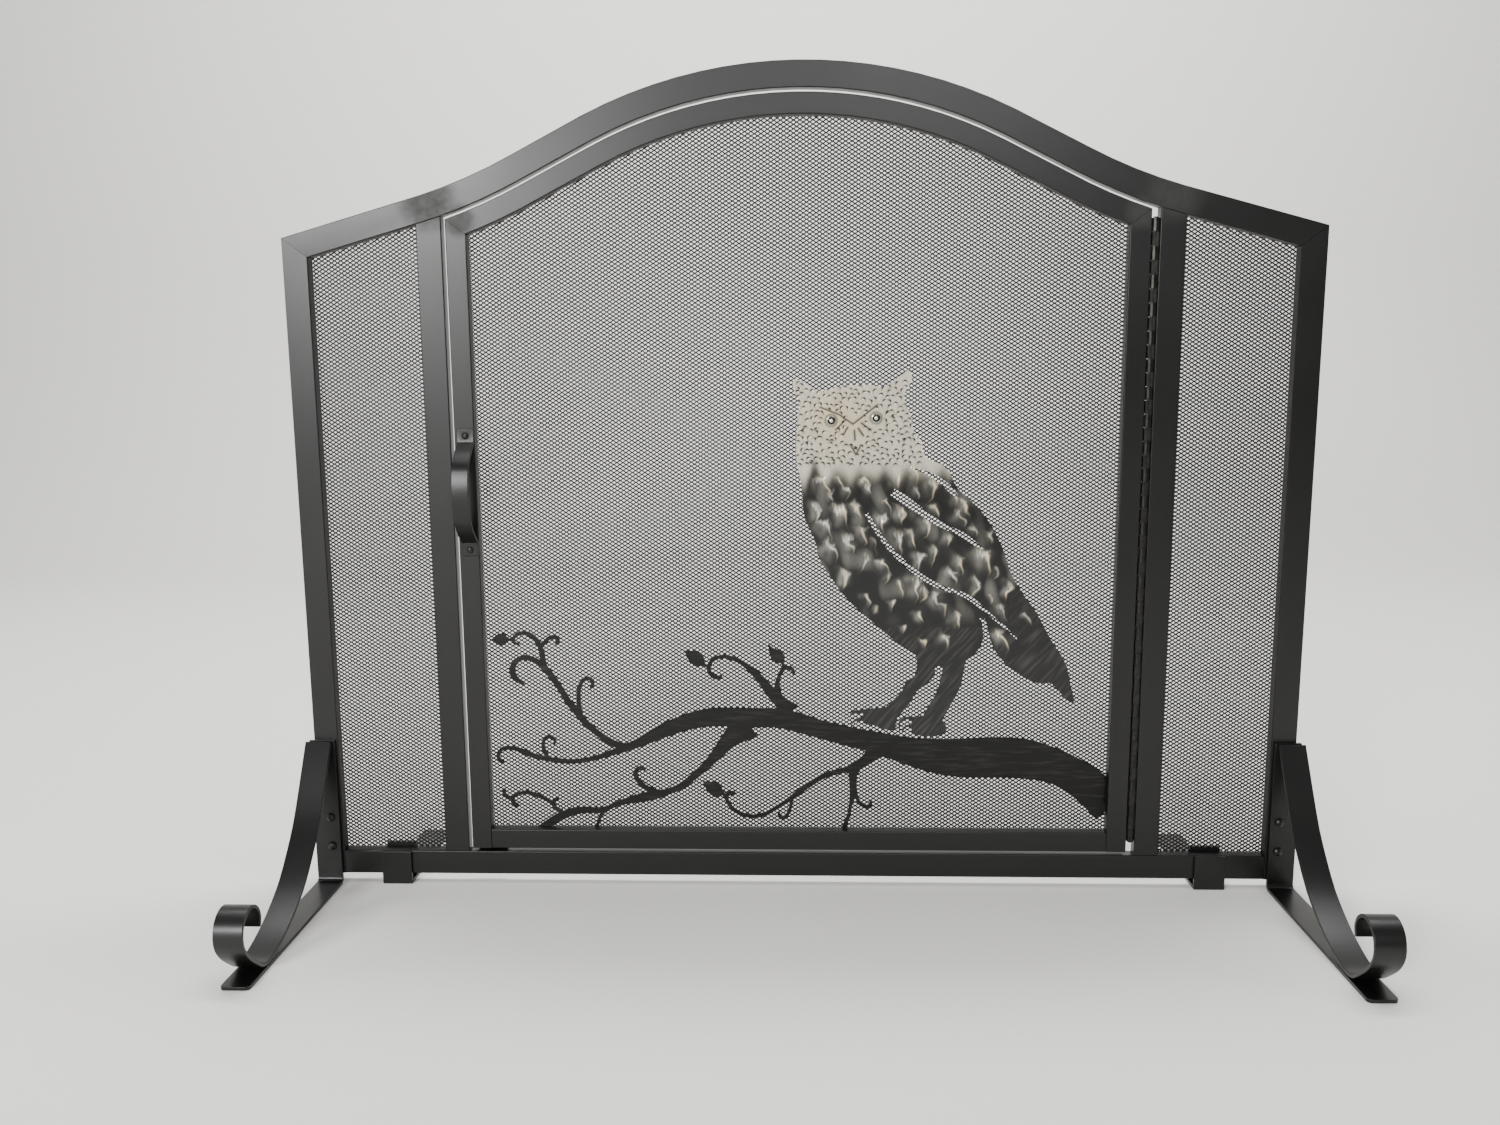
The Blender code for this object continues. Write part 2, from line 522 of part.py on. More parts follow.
OWL_SLOTS = [
    # between the shoulder and the upper wing
    [(91, 394, 7), (100, 388.4, 8), (110, 381.2, 7.5), (120, 374, 7), (130, 366.8, 6),
     (140, 361.4, 4.8), (150, 356.5, 5), (160, 351.7, 4.5), (170, 344.3, 4),
     (178, 339, 1)],
    # the long slot under the wing
    [(66, 374, 3), (70.5, 366, 4), (76, 357, 4), (82, 348.5, 4), (89, 339.5, 4.5),
     (96.5, 331.5, 4.5), (105, 323.5, 4.5), (115, 315.3, 4.5), (125, 308.5, 4.5),
     (137, 302, 4.2), (150, 297.6, 4.2), (160, 294.2, 4), (170, 288.1, 4.2),
     (180, 279.6, 3.2), (190, 271, 2.6), (200, 262.7, 2.2), (213, 250, 0.8)],
    # behind the neck
    [(112, 416, 1.6), (121, 413.3, 3), (130, 409, 4), (137, 404.3, 4.5),
     (143.5, 399, 5.5), (149, 393.5, 5), (152, 389.5, 1.5)],
]
OWL_EYES = ((32.3, 462.5), (74.8, 464.7))
EYE_PROFILE = [(0, 0), (4.8, 0), (4.8, -0.4), (4.0, -0.9), (2.8, -0.9), (2.0, -0.5),
               (1.4, -0.9), (0, -1.3)]   # radius and depth of the stamped boss, millimetres


# ---- front feet ----------------------------------------------------------------------------
# Centre line of a bow in (y, z), millimetres, from the weld at the top round the scroll.
BOW_LINE = [(-5.3, 149), (-31, 109), (-51, 80), (-72, 57.7), (-92, 39.8), (-113, 26.8),
            (-133.5, 17), (-151.5, 10.6), (-168, 6.5), (-180, 5.3), (-190, 7.2),
            (-199, 13.5), (-207, 20), (-215, 27.5), (-221.5, 37), (-223, 47), (-219, 58),
            (-210, 64.5), (-200, 65.5), (-191, 60), (-187.5, 51), (-190, 42.5)]


def foot_bracket(name, side, frame):
    """Flat bar bent into an L: up the front of the post, and forwards along the ground."""
    back = -GAP
    front = back - STRAP_THICKNESS
    outer = BRACKET_BEND + STRAP_THICKNESS
    arc = [radians(90 * k / 5) for k in range(6)]
    heel = [(back - outer + outer * cos(a), outer - outer * sin(a)) for a in arc]
    fillet = [(back - outer + BRACKET_BEND * cos(a), outer - BRACKET_BEND * sin(a))
              for a in reversed(arc)]
    outline = [(back, BRACKET_HEIGHT)] + heel + [(-BRACKET_REACH, 0.0)]
    outline += [(-BRACKET_REACH, STRAP_THICKNESS)] + fillet + [(front, BRACKET_HEIGHT)]
    centre = side * STRAP_CENTRE_X
    bm = prism(outline, "x", centre - STRAP_WIDTH / 2, centre + STRAP_WIDTH / 2)
    tip = [e for e in bm.edges
           if all(v.co.y < -BRACKET_REACH + GAP for v in e.verts) and abs(
               e.verts[0].co.z - e.verts[1].co.z) > GAP]
    bmesh.ops.bevel(bm, geom=tip, offset=4 * MM, segments=3, profile=0.5, affect="EDGES",
                    material=-1)
    return add_piece(name, bm, BLACK_COAT, frame)


def foot_rivets(label, side, bracket, post, frame):
    """Two round-headed rivets hold the bracket to the front wall of the post."""
    head_y = -2 * GAP - STRAP_THICKNESS
    tail_y = TUBE_WALL + GAP - head_y
    for place, height in zip(("lower", "upper"), RIVET_HEIGHTS):
        drill((bracket, post), side * RIVET_X, height, -6 * MM, TUBE_WALL + 3 * MM,
              RIVET_SHANK_RADIUS + GAP)
        profile = [(0.0, tail_y + RIVET_TAIL_LENGTH),
                   (RIVET_TAIL_RADIUS, tail_y + RIVET_TAIL_LENGTH),
                   (RIVET_TAIL_RADIUS, tail_y), (RIVET_SHANK_RADIUS, tail_y),
                   (RIVET_SHANK_RADIUS, 0.0)] + dome(RIVET_HEAD_RADIUS, RIVET_HEAD_HEIGHT)
        add_piece(f"{label}_foot_rivet_{place}",
                  lathe(profile, side * RIVET_X, head_y, height, 16), BLACK_COAT, frame,
                  smooth=True)


def foot_bow(name, side, frame):
    """The bow and scroll: one flat bar, tacked to the bracket at its top and near its tip."""
    path = smooth_path([(y * MM, z * MM) for y, z in BOW_LINE], 2)
    outline = ribbon(path, [STRAP_THICKNESS] * len(path))
    centre = side * STRAP_CENTRE_X
    bm = prism(outline, "x", centre - STRAP_WIDTH / 2, centre + STRAP_WIDTH / 2)
    for vert in bm.verts:
        vert.co.x += side * tan(BOW_LEAN) * vert.co.z
    add_piece(name, bm, BLACK_COAT, frame)


def rear_foot(name, side, frame):
    """Saddle strap: a tab each side of the bottom rail, and a long tail on the ground."""
    t = REAR_FOOT_THICKNESS
    front = -GAP - t
    tab = MESH_FRONT_Y + MESH_THICKNESS + GAP
    outline = [(front, 0.0), (REAR_REACH, 0.0), (REAR_REACH, t), (tab + t, t),
               (tab + t, REAR_TAB_TOP), (tab, REAR_TAB_TOP), (tab, t), (-GAP, t),
               (-GAP, RAIL_TOP), (front, RAIL_TOP)]
    centre = side * REAR_FOOT_X
    bm = prism(outline, "x", centre - REAR_FOOT_WIDTH / 2, centre + REAR_FOOT_WIDTH / 2)
    add_piece(name, bm, BLACK_COAT, frame)


# ---- hinge ---------------------------------------------------------------------------------
def hinge_leaf(name, side, parity, parent):
    """One leaf of the piano hinge; every other segment of its front edge rolls into a knuckle.

    side is +1 for the leaf on the mullion and -1 for the leaf on the door.
    """
    outer_x = HINGE_AXIS_X + side * LEAF_OFFSET
    inner_x = outer_x - side * LEAF_THICKNESS
    bm = bmesh.new()
    heights = []
    for k in range(KNUCKLE_COUNT):
        low = HINGE_BOTTOM + k * KNUCKLE_LENGTH
        heights += [low + GAP / 2, low + KNUCKLE_LENGTH - GAP / 2]
    rows = []
    for z in heights:
        rows.append([bm.verts.new(p) for p in (
            (outer_x, LEAF_FRONT_Y, z), (inner_x, LEAF_FRONT_Y, z),
            (inner_x, LEAF_BACK_Y, z), (outer_x, LEAF_BACK_Y, z))])
    bm.faces.new(rows[0])
    bm.faces.new(rows[-1][::-1])
    middle = KNUCKLE_RADIUS - LEAF_THICKNESS / 2
    turns = [radians(0 if side > 0 else 180) - side * radians(300 * k / 9) for k in range(10)]
    for k in range(len(rows) - 1):
        low, high = rows[k], rows[k + 1]
        rolled = k % 2 == 0 and (k // 2) % 2 == parity
        for a, b in ((1, 2), (2, 3), (3, 0)):
            bm.faces.new((low[a], low[b], high[b], high[a]))
        if not rolled:
            bm.faces.new((low[0], low[1], high[1], high[0]))
            continue
        # low[0]/low[1] are the sheet's two surfaces; carry them round the pin together
        last = (low[0], low[1], high[0], high[1])
        for turn in turns:
            ring = []
            for z in (low[0].co.z, high[0].co.z):
                for radius in (middle + LEAF_THICKNESS / 2, middle - LEAF_THICKNESS / 2):
                    ring.append(bm.verts.new((HINGE_AXIS_X + radius * cos(turn),
                                              HINGE_AXIS_Y + radius * sin(turn), z)))
            bm.faces.new((last[0], last[2], ring[2], ring[0]))
            bm.faces.new((last[1], last[3], ring[3], ring[1]))
            bm.faces.new((last[0], last[1], ring[1], ring[0]))
            bm.faces.new((last[2], last[3], ring[3], ring[2]))
            last = ring
        bm.faces.new((last[0], last[1], last[3], last[2]))
    add_piece(name, bm, BLACK_HINGE, parent)


# ---- handle --------------------------------------------------------------------------------
# Middle of the bar in (y, z), millimetres: the feet lie flat, the grip bows forwards.
HANDLE_FEET = ((335.5, 348.0), (445.0, 457.7))
HANDLE_BOW = [(-1.9, 348), (-6.5, 352), (-15, 358.5), (-22, 366.5), (-27, 376), (-30, 397),
              (-27, 418), (-22, 427), (-15, 434.5), (-6.5, 441), (-1.9, 445)]


def door_handle(parent, stile):
    """Flat bar bowed forwards between two flat feet, screwed to the latch stile."""
    foot_y = -GAP - HANDLE_THICKNESS / 2
    path = smooth_path([(y * MM, z * MM) for y, z in HANDLE_BOW], 2)
    path = [Vector((foot_y, HANDLE_FEET[0][0] * MM))] + path
    path.append(Vector((foot_y, HANDLE_FEET[1][1] * MM)))
    outline = ribbon(path, [HANDLE_THICKNESS] * len(path))
    outline = [(min(y, -GAP), z) for y, z in outline]
    bm = prism(outline, "x", HANDLE_X - HANDLE_WIDTH / 2, HANDLE_X + HANDLE_WIDTH / 2)
    handle = add_piece("door_handle", bm, BLACK_COAT, parent)
    head_y = -2 * GAP - HANDLE_THICKNESS
    for place, z in zip(("lower", "upper"), SCREW_HEIGHTS):
        drill((handle, stile), HANDLE_X, z, -9 * MM, TUBE_WALL + 1 * MM,
              SCREW_SHANK_RADIUS + GAP)
        profile = [(0.0, -head_y + TUBE_WALL + 2 * MM),
                   (SCREW_SHANK_RADIUS, -head_y + TUBE_WALL + 2 * MM),
                   (SCREW_SHANK_RADIUS, 0.0)] + dome(SCREW_HEAD_RADIUS, SCREW_HEAD_HEIGHT)
        add_piece(f"handle_screw_{place}", lathe(profile, HANDLE_X, head_y, z, 14),
                  BLACK_HINGE, parent, smooth=True)


# ---- assembly ------------------------------------------------------------------------------
def build_frame(frame):
    corner = arch_height(WIDTH / 2, 0)
    corner_inner = arch_height(POST_INNER_X, TUBE_FACE)
    head = {x: arch_height(x, TUBE_FACE) - GAP for x in (MULLION_INNER_X, MULLION_OUTER_X)}
    for label, side in (("left", -1), ("right", 1)):
        ends = [(side * WIDTH / 2, corner - GAP), (side * POST_INNER_X, corner_inner - GAP)]
        (x_low, top_low), (x_high, top_high) = sorted(ends)
        post = add_piece(label + "_post", upright(x_low, x_high, RAIL_BOTTOM, top_low, top_high),
                         BLACK_COAT, frame)
        ends = sorted((side * x, z) for x, z in head.items())
        (x_low, top_low), (x_high, top_high) = ends
        add_piece(label + "_mullion",
                  upright(x_low, x_high, RAIL_TOP + GAP, top_low, top_high), BLACK_COAT, frame)

        inner, outer = MULLION_OUTER_X - MESH_LAP, POST_INNER_X + MESH_LAP
        x_low, x_high = sorted((side * inner, side * outer))
        sheet = arch_topped_outline(x_low, x_high, RAIL_TOP - MESH_LAP, TUBE_FACE - MESH_LAP, 6)
        add_piece(label + "_side_mesh",
                  prism(sheet, "y", MESH_FRONT_Y, MESH_FRONT_Y + MESH_THICKNESS),
                  BLACK_MESH, frame)

        bracket = foot_bracket(label + "_foot_bracket", side, frame)
        foot_rivets(label, side, bracket, post, frame)
        foot_bow(label + "_foot_bow", side, frame)
        rear_foot(label + "_rear_foot", side, frame)

    add_piece("bottom_rail", level_rail(-POST_INNER_X + GAP, POST_INNER_X - GAP, RAIL_BOTTOM,
                                        RAIL_TOP), BLACK_COAT, frame)
    add_piece("arch_rail", arched_rail(-WIDTH / 2, WIDTH / 2, 0.0, TUBE_FACE, 44),
              BLACK_COAT, frame)
    hinge_leaf("hinge_leaf_frame", 1, 0, frame)
    pin = rod(PIN_RADIUS, (HINGE_AXIS_X, HINGE_AXIS_Y, HINGE_BOTTOM - 1 * MM),
              KNUCKLE_COUNT * KNUCKLE_LENGTH + 2 * MM, "z", 14)
    add_piece("hinge_pin", pin, BLACK_HINGE, frame, smooth=True)
    catch = [(CATCH_X[0], CATCH_Z[0]), (CATCH_X[1], CATCH_Z[0]), (CATCH_X[1], CATCH_Z[1]),
             (CATCH_X[0], CATCH_Z[1])]
    add_piece("magnet_catch", prism(catch, "y", TUBE_DEPTH + GAP,
                                    TUBE_DEPTH + GAP + CATCH_THICKNESS), BLACK_HINGE, frame)


def build_door(door):
    stile_inner = (DOOR_LATCH_X + DOOR_FACE, DOOR_HINGE_X - DOOR_FACE)
    outer_top = [arch_height(x, DOOR_TOP_INSET) - GAP for x in (DOOR_LATCH_X, DOOR_HINGE_X)]
    inner_top = [arch_height(x, DOOR_TOP_INSET + DOOR_FACE) - GAP for x in stile_inner]
    stile = add_piece(
        "door_latch_stile",
              upright(DOOR_LATCH_X, stile_inner[0], DOOR_BOTTOM, outer_top[0], inner_top[0]),
              BLACK_COAT, door)
    add_piece("door_hinge_stile",
              upright(stile_inner[1], DOOR_HINGE_X, DOOR_BOTTOM, inner_top[1], outer_top[1]),
              BLACK_COAT, door)
    add_piece("door_bottom_rail",
              level_rail(stile_inner[0] + GAP, stile_inner[1] - GAP, DOOR_BOTTOM,
                         DOOR_BOTTOM + DOOR_FACE), BLACK_COAT, door)
    add_piece("door_arch_rail",
              arched_rail(DOOR_LATCH_X, DOOR_HINGE_X, DOOR_TOP_INSET, DOOR_FACE, 34),
              BLACK_COAT, door)
    sheet = arch_topped_outline(stile_inner[0] - MESH_LAP, stile_inner[1] + MESH_LAP,
                                DOOR_BOTTOM + DOOR_FACE - MESH_LAP,
                                DOOR_TOP_INSET + DOOR_FACE - MESH_LAP, 24)
    add_piece("door_mesh", prism(sheet, "y", MESH_FRONT_Y, MESH_FRONT_Y + MESH_THICKNESS),
              BLACK_MESH, door)
    hinge_leaf("hinge_leaf_door", -1, 1, door)
    door_handle(door, stile)
    build_owl(door)
    shapes = [clipped(stroke(points), BRANCH_FLOOR, BRANCH_END_X) for points in TWIGS]
    add_piece("branch_plate",
              cut_plate(shapes + LEAVES, [], PLATE_BACK_Y - BRANCH_THICKNESS, PLATE_BACK_Y),
              CUT_STEEL, door)


def build_owl(door):
    front = PLATE_BACK_Y - OWL_THICKNESS
    shapes = [OWL_OUTLINE] + [stroke(points) for points in OWL_CLAWS]
    slots = [stroke(points) for points in OWL_SLOTS]
    add_piece("owl_plate", cut_plate(shapes, slots, front, PLATE_BACK_Y), OWL_STEEL, door)
    profile = [(r * MM, depth * MM) for r, depth in EYE_PROFILE]
    for label, (x, z) in zip(("left", "right"), OWL_EYES):
        boss = lathe(profile, x * MM, front - GAP, z * MM, 16)
        add_piece(f"owl_eye_{label}", boss, RING_STEEL, door, smooth=True)


def main():
    clear_scene()
    frame = make_empty("frame_front", (0, FRONT_Y, 0))
    door = make_empty("door_axis", (HINGE_AXIS_X, HINGE_AXIS_Y, 0), frame)
    build_frame(frame)
    build_door(door)


main()
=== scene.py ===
# %% [markdown]
# # An arched fireplace screen with an owl on its door
# The screen is welded from square steel tube, filled with expanded metal and coated black. Its
# door swings on a piano hinge and carries two plates cut from sheet: an owl, hammered and ground
# bright, and a branch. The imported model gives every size; each cell below takes one kind of
# piece from it and gives it rounded edges, relief and a finish.

import random
from math import cos, exp, hypot, pi, radians, sin

import bmesh
import bpy
from mathutils import Matrix, Vector, noise
from mathutils.bvhtree import BVHTree
from mathutils.geometry import delaunay_2d_cdt


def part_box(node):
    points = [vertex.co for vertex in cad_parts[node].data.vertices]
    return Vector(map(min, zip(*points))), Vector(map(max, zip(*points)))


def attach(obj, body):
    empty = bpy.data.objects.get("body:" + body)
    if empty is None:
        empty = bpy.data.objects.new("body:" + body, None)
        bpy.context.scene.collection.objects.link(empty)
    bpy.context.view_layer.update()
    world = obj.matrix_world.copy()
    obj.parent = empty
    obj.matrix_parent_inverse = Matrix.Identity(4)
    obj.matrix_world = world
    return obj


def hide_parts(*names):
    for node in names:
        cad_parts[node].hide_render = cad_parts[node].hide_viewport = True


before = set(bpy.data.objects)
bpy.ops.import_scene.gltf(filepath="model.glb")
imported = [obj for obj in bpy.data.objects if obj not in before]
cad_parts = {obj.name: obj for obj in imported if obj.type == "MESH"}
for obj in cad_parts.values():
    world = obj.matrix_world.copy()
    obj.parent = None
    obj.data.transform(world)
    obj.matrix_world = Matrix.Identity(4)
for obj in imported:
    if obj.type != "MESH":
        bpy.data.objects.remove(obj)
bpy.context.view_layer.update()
MM = 0.001

# %% [markdown]
# Most pieces start as a merged copy of their CAD node, because the node's own mesh is loose
# triangles. Flat triangles are dissolved back into whole faces, and the edges that a bender or a
# drawing die would leave round are bevelled. A weighted normal keeps the wide faces looking flat
# next to their round edges.

# %% Helpers that turn a CAD node into a finished piece
def merged_copy(node):
    """A bmesh of a CAD node with its triangles joined up."""
    bm = bmesh.new()
    bm.from_mesh(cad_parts[node].data)
    bmesh.ops.remove_doubles(bm, verts=bm.verts, dist=1e-6)
    bmesh.ops.dissolve_limit(bm, angle_limit=radians(0.4), verts=bm.verts, edges=bm.edges)
    return bm


def new_piece(name, bm, material, body, node=None):
    """An object at the origin that rides on a body and stands for its CAD node."""
    mesh = bpy.data.meshes.new(name)
    bm.to_mesh(mesh)
    bm.free()
    mesh.materials.append(material)
    mesh.shade_smooth()
    mesh.set_sharp_from_angle(angle=radians(42))
    piece = bpy.data.objects.new(name, mesh)
    bpy.context.scene.collection.objects.link(piece)
    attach(piece, body)
    if node:
        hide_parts(node)
    return piece


def round_edges(bm, radius, segments, wanted=lambda edge: True):
    """Bevel the convex edges of 50 degrees or more that the test picks out."""
    edges = [e for e in bm.edges if e.is_manifold and e.is_convex
             and e.calc_face_angle(0) > radians(50) and wanted(e)]
    bmesh.ops.bevel(bm, geom=edges, offset=radius, segments=segments, profile=0.5,
                    affect="EDGES", clamp_overlap=True, material=-1)
    return len(edges)


def flatten_shading(piece):
    """Keep the wide faces flat where they meet a rounded edge."""
    normals = piece.modifiers.new("wide faces stay flat", "WEIGHTED_NORMAL")
    normals.keep_sharp = True
    normals.weight = 80


# %% [markdown]
# Every finish is built from the same few steps: a base colour written as the hex value a
# designer would pick, a shader, and a noise or two at the size of the real grain. One function
# turns hex into the linear values the shader works in, and one adds a node.

# %% Colour and node helpers
def linear(hex_colour):
    """Linear RGBA of an sRGB hex colour."""
    channels = [int(hex_colour[k:k + 2], 16) / 255 for k in (1, 3, 5)]
    return tuple(c / 12.92 if c <= 0.04045 else ((c + 0.055) / 1.055) ** 2.4
                 for c in channels) + (1.0,)


def start_material(name):
    material = bpy.data.materials.new(name)
    material.use_nodes = True
    return material, material.node_tree, material.node_tree.nodes["Principled BSDF"]


def add(tree, kind, inputs=None, **settings):
    """Add a node; each input is a constant, or a socket of another node to link from."""
    made = tree.nodes.new(kind)
    for key, value in settings.items():
        setattr(made, key, value)
    for key, value in (inputs or {}).items():
        if isinstance(value, bpy.types.NodeSocket):
            tree.links.new(value, made.inputs[key])
        else:
            made.inputs[key].default_value = value
    return made


# %% [markdown]
# ## Black heat-proof coat
# The tubes and bars are sprayed with a satin black stove coat over mild steel. It is nearly
# black, with a soft sheen that varies where the spray lay thicker, and a fine orange peel. Where
# the frame was welded and ground before coating, the steel is duller and a little paler, so four
# soft patches sit at the heads of the mullions and the door's top corners.

# %% Black coat
WELD_Y = 0.044                      # within a millimetre of the front of the tubes


def black_coat(name, patches=()):
    """The coat; each patch is the x, z and radius in millimetres of a ground weld."""
    material, tree, shader = start_material(name)
    place = add(tree, "ShaderNodeTexCoord").outputs["Object"]
    cloud = add(tree, "ShaderNodeTexNoise", {"Vector": place, "Scale": 9.0, "Detail": 3.0})
    peel = add(tree, "ShaderNodeTexNoise", {"Vector": place, "Scale": 700.0, "Detail": 2.0})
    colour = add(tree, "ShaderNodeMix", {"Factor": cloud.outputs["Fac"]}, data_type="RGBA")
    colour.inputs[6].default_value = linear("#070707")
    colour.inputs[7].default_value = linear("#0e0e0d")
    tint = colour.outputs[2]
    dull = None
    for x, z, size in patches:
        away = add(tree, "ShaderNodeVectorMath", {0: place, 1: (x * MM, WELD_Y, z * MM)},
                   operation="DISTANCE")
        near = add(tree, "ShaderNodeMapRange",
                   {"Value": away.outputs["Value"], "From Min": size * MM,
                    "From Max": 0.25 * size * MM, "To Min": 0.0, "To Max": 1.0},
                   interpolation_type="SMOOTHSTEP")
        total = near.outputs["Result"]
        if dull is not None:
            total = add(tree, "ShaderNodeMath", {0: dull, 1: total},
                        operation="MAXIMUM").outputs[0]
        dull = total
    rough = add(tree, "ShaderNodeMapRange", {"Value": cloud.outputs["Fac"], "To Min": 0.30,
                                             "To Max": 0.40}).outputs["Result"]
    if dull is not None:
        ground = add(tree, "ShaderNodeTexNoise", {"Vector": place, "Scale": 160.0,
                                                  "Detail": 4.0})
        dull = add(tree, "ShaderNodeMath", {0: dull, 1: ground.outputs["Fac"]},
                   operation="MULTIPLY").outputs[0]
        paler = add(tree, "ShaderNodeMix", {"Factor": dull}, data_type="RGBA")
        tree.links.new(tint, paler.inputs[6])
        paler.inputs[7].default_value = linear("#2c2c2a")
        tint = paler.outputs[2]
        rough = add(tree, "ShaderNodeMath", {0: dull, 1: 0.35, 2: rough},
                    operation="MULTIPLY_ADD").outputs[0]
    bump = add(tree, "ShaderNodeBump", {"Height": peel.outputs["Fac"], "Strength": 0.12,
                                        "Distance": 0.0004})
    tree.links.new(tint, shader.inputs["Base Color"])
    tree.links.new(rough, shader.inputs["Roughness"])
    tree.links.new(bump.outputs["Normal"], shader.inputs["Normal"])
    shader.inputs["Specular IOR Level"].default_value = 0.4
    return material


COAT = black_coat("satin black stove coat",
                  ((-343, 668, 34), (343, 668, 34), (-314, 650, 20), (314, 650, 20)))
BAR_COAT = black_coat("satin black stove coat on bar")
print("coat:", COAT.name, "with 4 ground weld patches")

# %% [markdown]
# ## Square tube
# The tube is drawn through a die, so its long edges are rounded by a millimetre. Its cut ends
# stay sharp, because they butt or mitre against the next tube. The test below therefore picks
# edges by their direction: up for the posts, along for the rails and the arch.

# %% Tubes
TUBE_EDGE = 1.0 * MM
TUBES = {"left_post": "up", "right_post": "up", "left_mullion": "up", "right_mullion": "up",
         "bottom_rail": "along", "arch_rail": "along", "door_latch_stile": "up",
         "door_hinge_stile": "up", "door_bottom_rail": "along", "door_arch_rail": "along"}


def runs(edge, way):
    """Whether an edge runs up, or along the screen at no more than the arch's slope."""
    step = (edge.verts[1].co - edge.verts[0].co).normalized()
    return abs(step.z) > 0.98 if way == "up" else abs(step.x) > 0.86


for node, way in TUBES.items():
    bm = merged_copy(node)
    count = round_edges(bm, TUBE_EDGE, 3, lambda edge: runs(edge, way))
    body = "door" if node.startswith("door") else "frame"
    flatten_shading(new_piece(node + "_tube", bm, COAT, body, node))
    print(node, "rounded edges:", count)

# %% [markdown]
# ## Flat bar
# The feet, the rear straps and the handle are hot-rolled flat bar bent cold. Rolled bar has small
# soft corners, so all the sharp edges take a little over half a millimetre.

# %% Feet, straps, catch and handle
BAR_EDGE = 0.55 * MM
BARS = ["left_foot_bracket", "right_foot_bracket", "left_foot_bow", "right_foot_bow",
        "left_rear_foot", "right_rear_foot", "magnet_catch", "door_handle"]
for node in BARS:
    bm = merged_copy(node)
    count = round_edges(bm, BAR_EDGE, 2)
    body = "door" if node.startswith("door") else "frame"
    flatten_shading(new_piece(node + "_bar", bm, BAR_COAT, body, node))
    print(node, "rounded edges:", count)

# %% [markdown]
# ## Hinge, rivets and screws
# The piano hinge is rolled from strip and coated with the frame. Its barrel rubs as the door
# swings, which leaves it dark but more metallic than the tubes. The screws are given the same
# finish, and the rivets the bars' coat. The hinge, the pin and the screws keep their CAD meshes,
# because they already have their real shape.

# %% Worn hinge steel
def worn_steel():
    material, tree, shader = start_material("rolled hinge steel, rubbed coat")
    place = add(tree, "ShaderNodeTexCoord").outputs["Object"]
    rub = add(tree, "ShaderNodeTexNoise", {"Vector": place, "Scale": 260.0, "Detail": 3.0})
    colour = add(tree, "ShaderNodeMix", {"Factor": rub.outputs["Fac"]}, data_type="RGBA")
    colour.inputs[6].default_value = linear("#0c0c0b")
    colour.inputs[7].default_value = linear("#3a3936")
    tree.links.new(colour.outputs[2], shader.inputs["Base Color"])
    shader.inputs["Metallic"].default_value = 0.8
    shader.inputs["Roughness"].default_value = 0.32
    return material


HINGE_STEEL = worn_steel()
for node in ("hinge_leaf_frame", "hinge_leaf_door", "hinge_pin", "handle_screw_lower",
             "handle_screw_upper"):
    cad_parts[node].data.materials.clear()
    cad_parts[node].data.materials.append(HINGE_STEEL)
for side in ("left", "right"):
    for place in ("lower", "upper"):
        node = f"{side}_foot_rivet_{place}"
        bm = merged_copy(node)
        new_piece(node + "_head", bm, BAR_COAT, "frame", node)
print("hinge, pin, screws and rivets finished")

# %% [markdown]
# ## Expanded metal
# The infill is expanded metal: a sheet slit in staggered rows and pulled open into diamonds, here
# 6 mm long and under 4 mm high, with strands 1.3 mm wide. A square grid turned by 45 degrees and
# stretched has the same net. Each diamond is inset by half a strand and its middle removed, and
# the flat net that remains is given its thickness. The net is kept wherever a diamond's centre
# lies on the CAD slab. It is made in bands so that no piece grows too heavy.

# %% Expanded metal sheets
LONG_WAY = 6.0 * MM
SHORT_WAY = 3.85 * MM
STRAND = 1.3 * MM
SHEET = 0.8 * MM
OFF_SLAB = 0.6 * MM                 # a diamond's centre this far from the slab is outside it


def mesh_black():
    material, tree, shader = start_material("matt black coated expanded metal")
    place = add(tree, "ShaderNodeTexCoord").outputs["Object"]
    dust = add(tree, "ShaderNodeTexNoise", {"Vector": place, "Scale": 60.0, "Detail": 3.0})
    rough = add(tree, "ShaderNodeMapRange", {"Value": dust.outputs["Fac"], "To Min": 0.42,
                                             "To Max": 0.6})
    tree.links.new(rough.outputs["Result"], shader.inputs["Roughness"])
    shader.inputs["Base Color"].default_value = linear("#040404")
    shader.inputs["Specular IOR Level"].default_value = 0.3
    return material


MESH_BLACK = mesh_black()


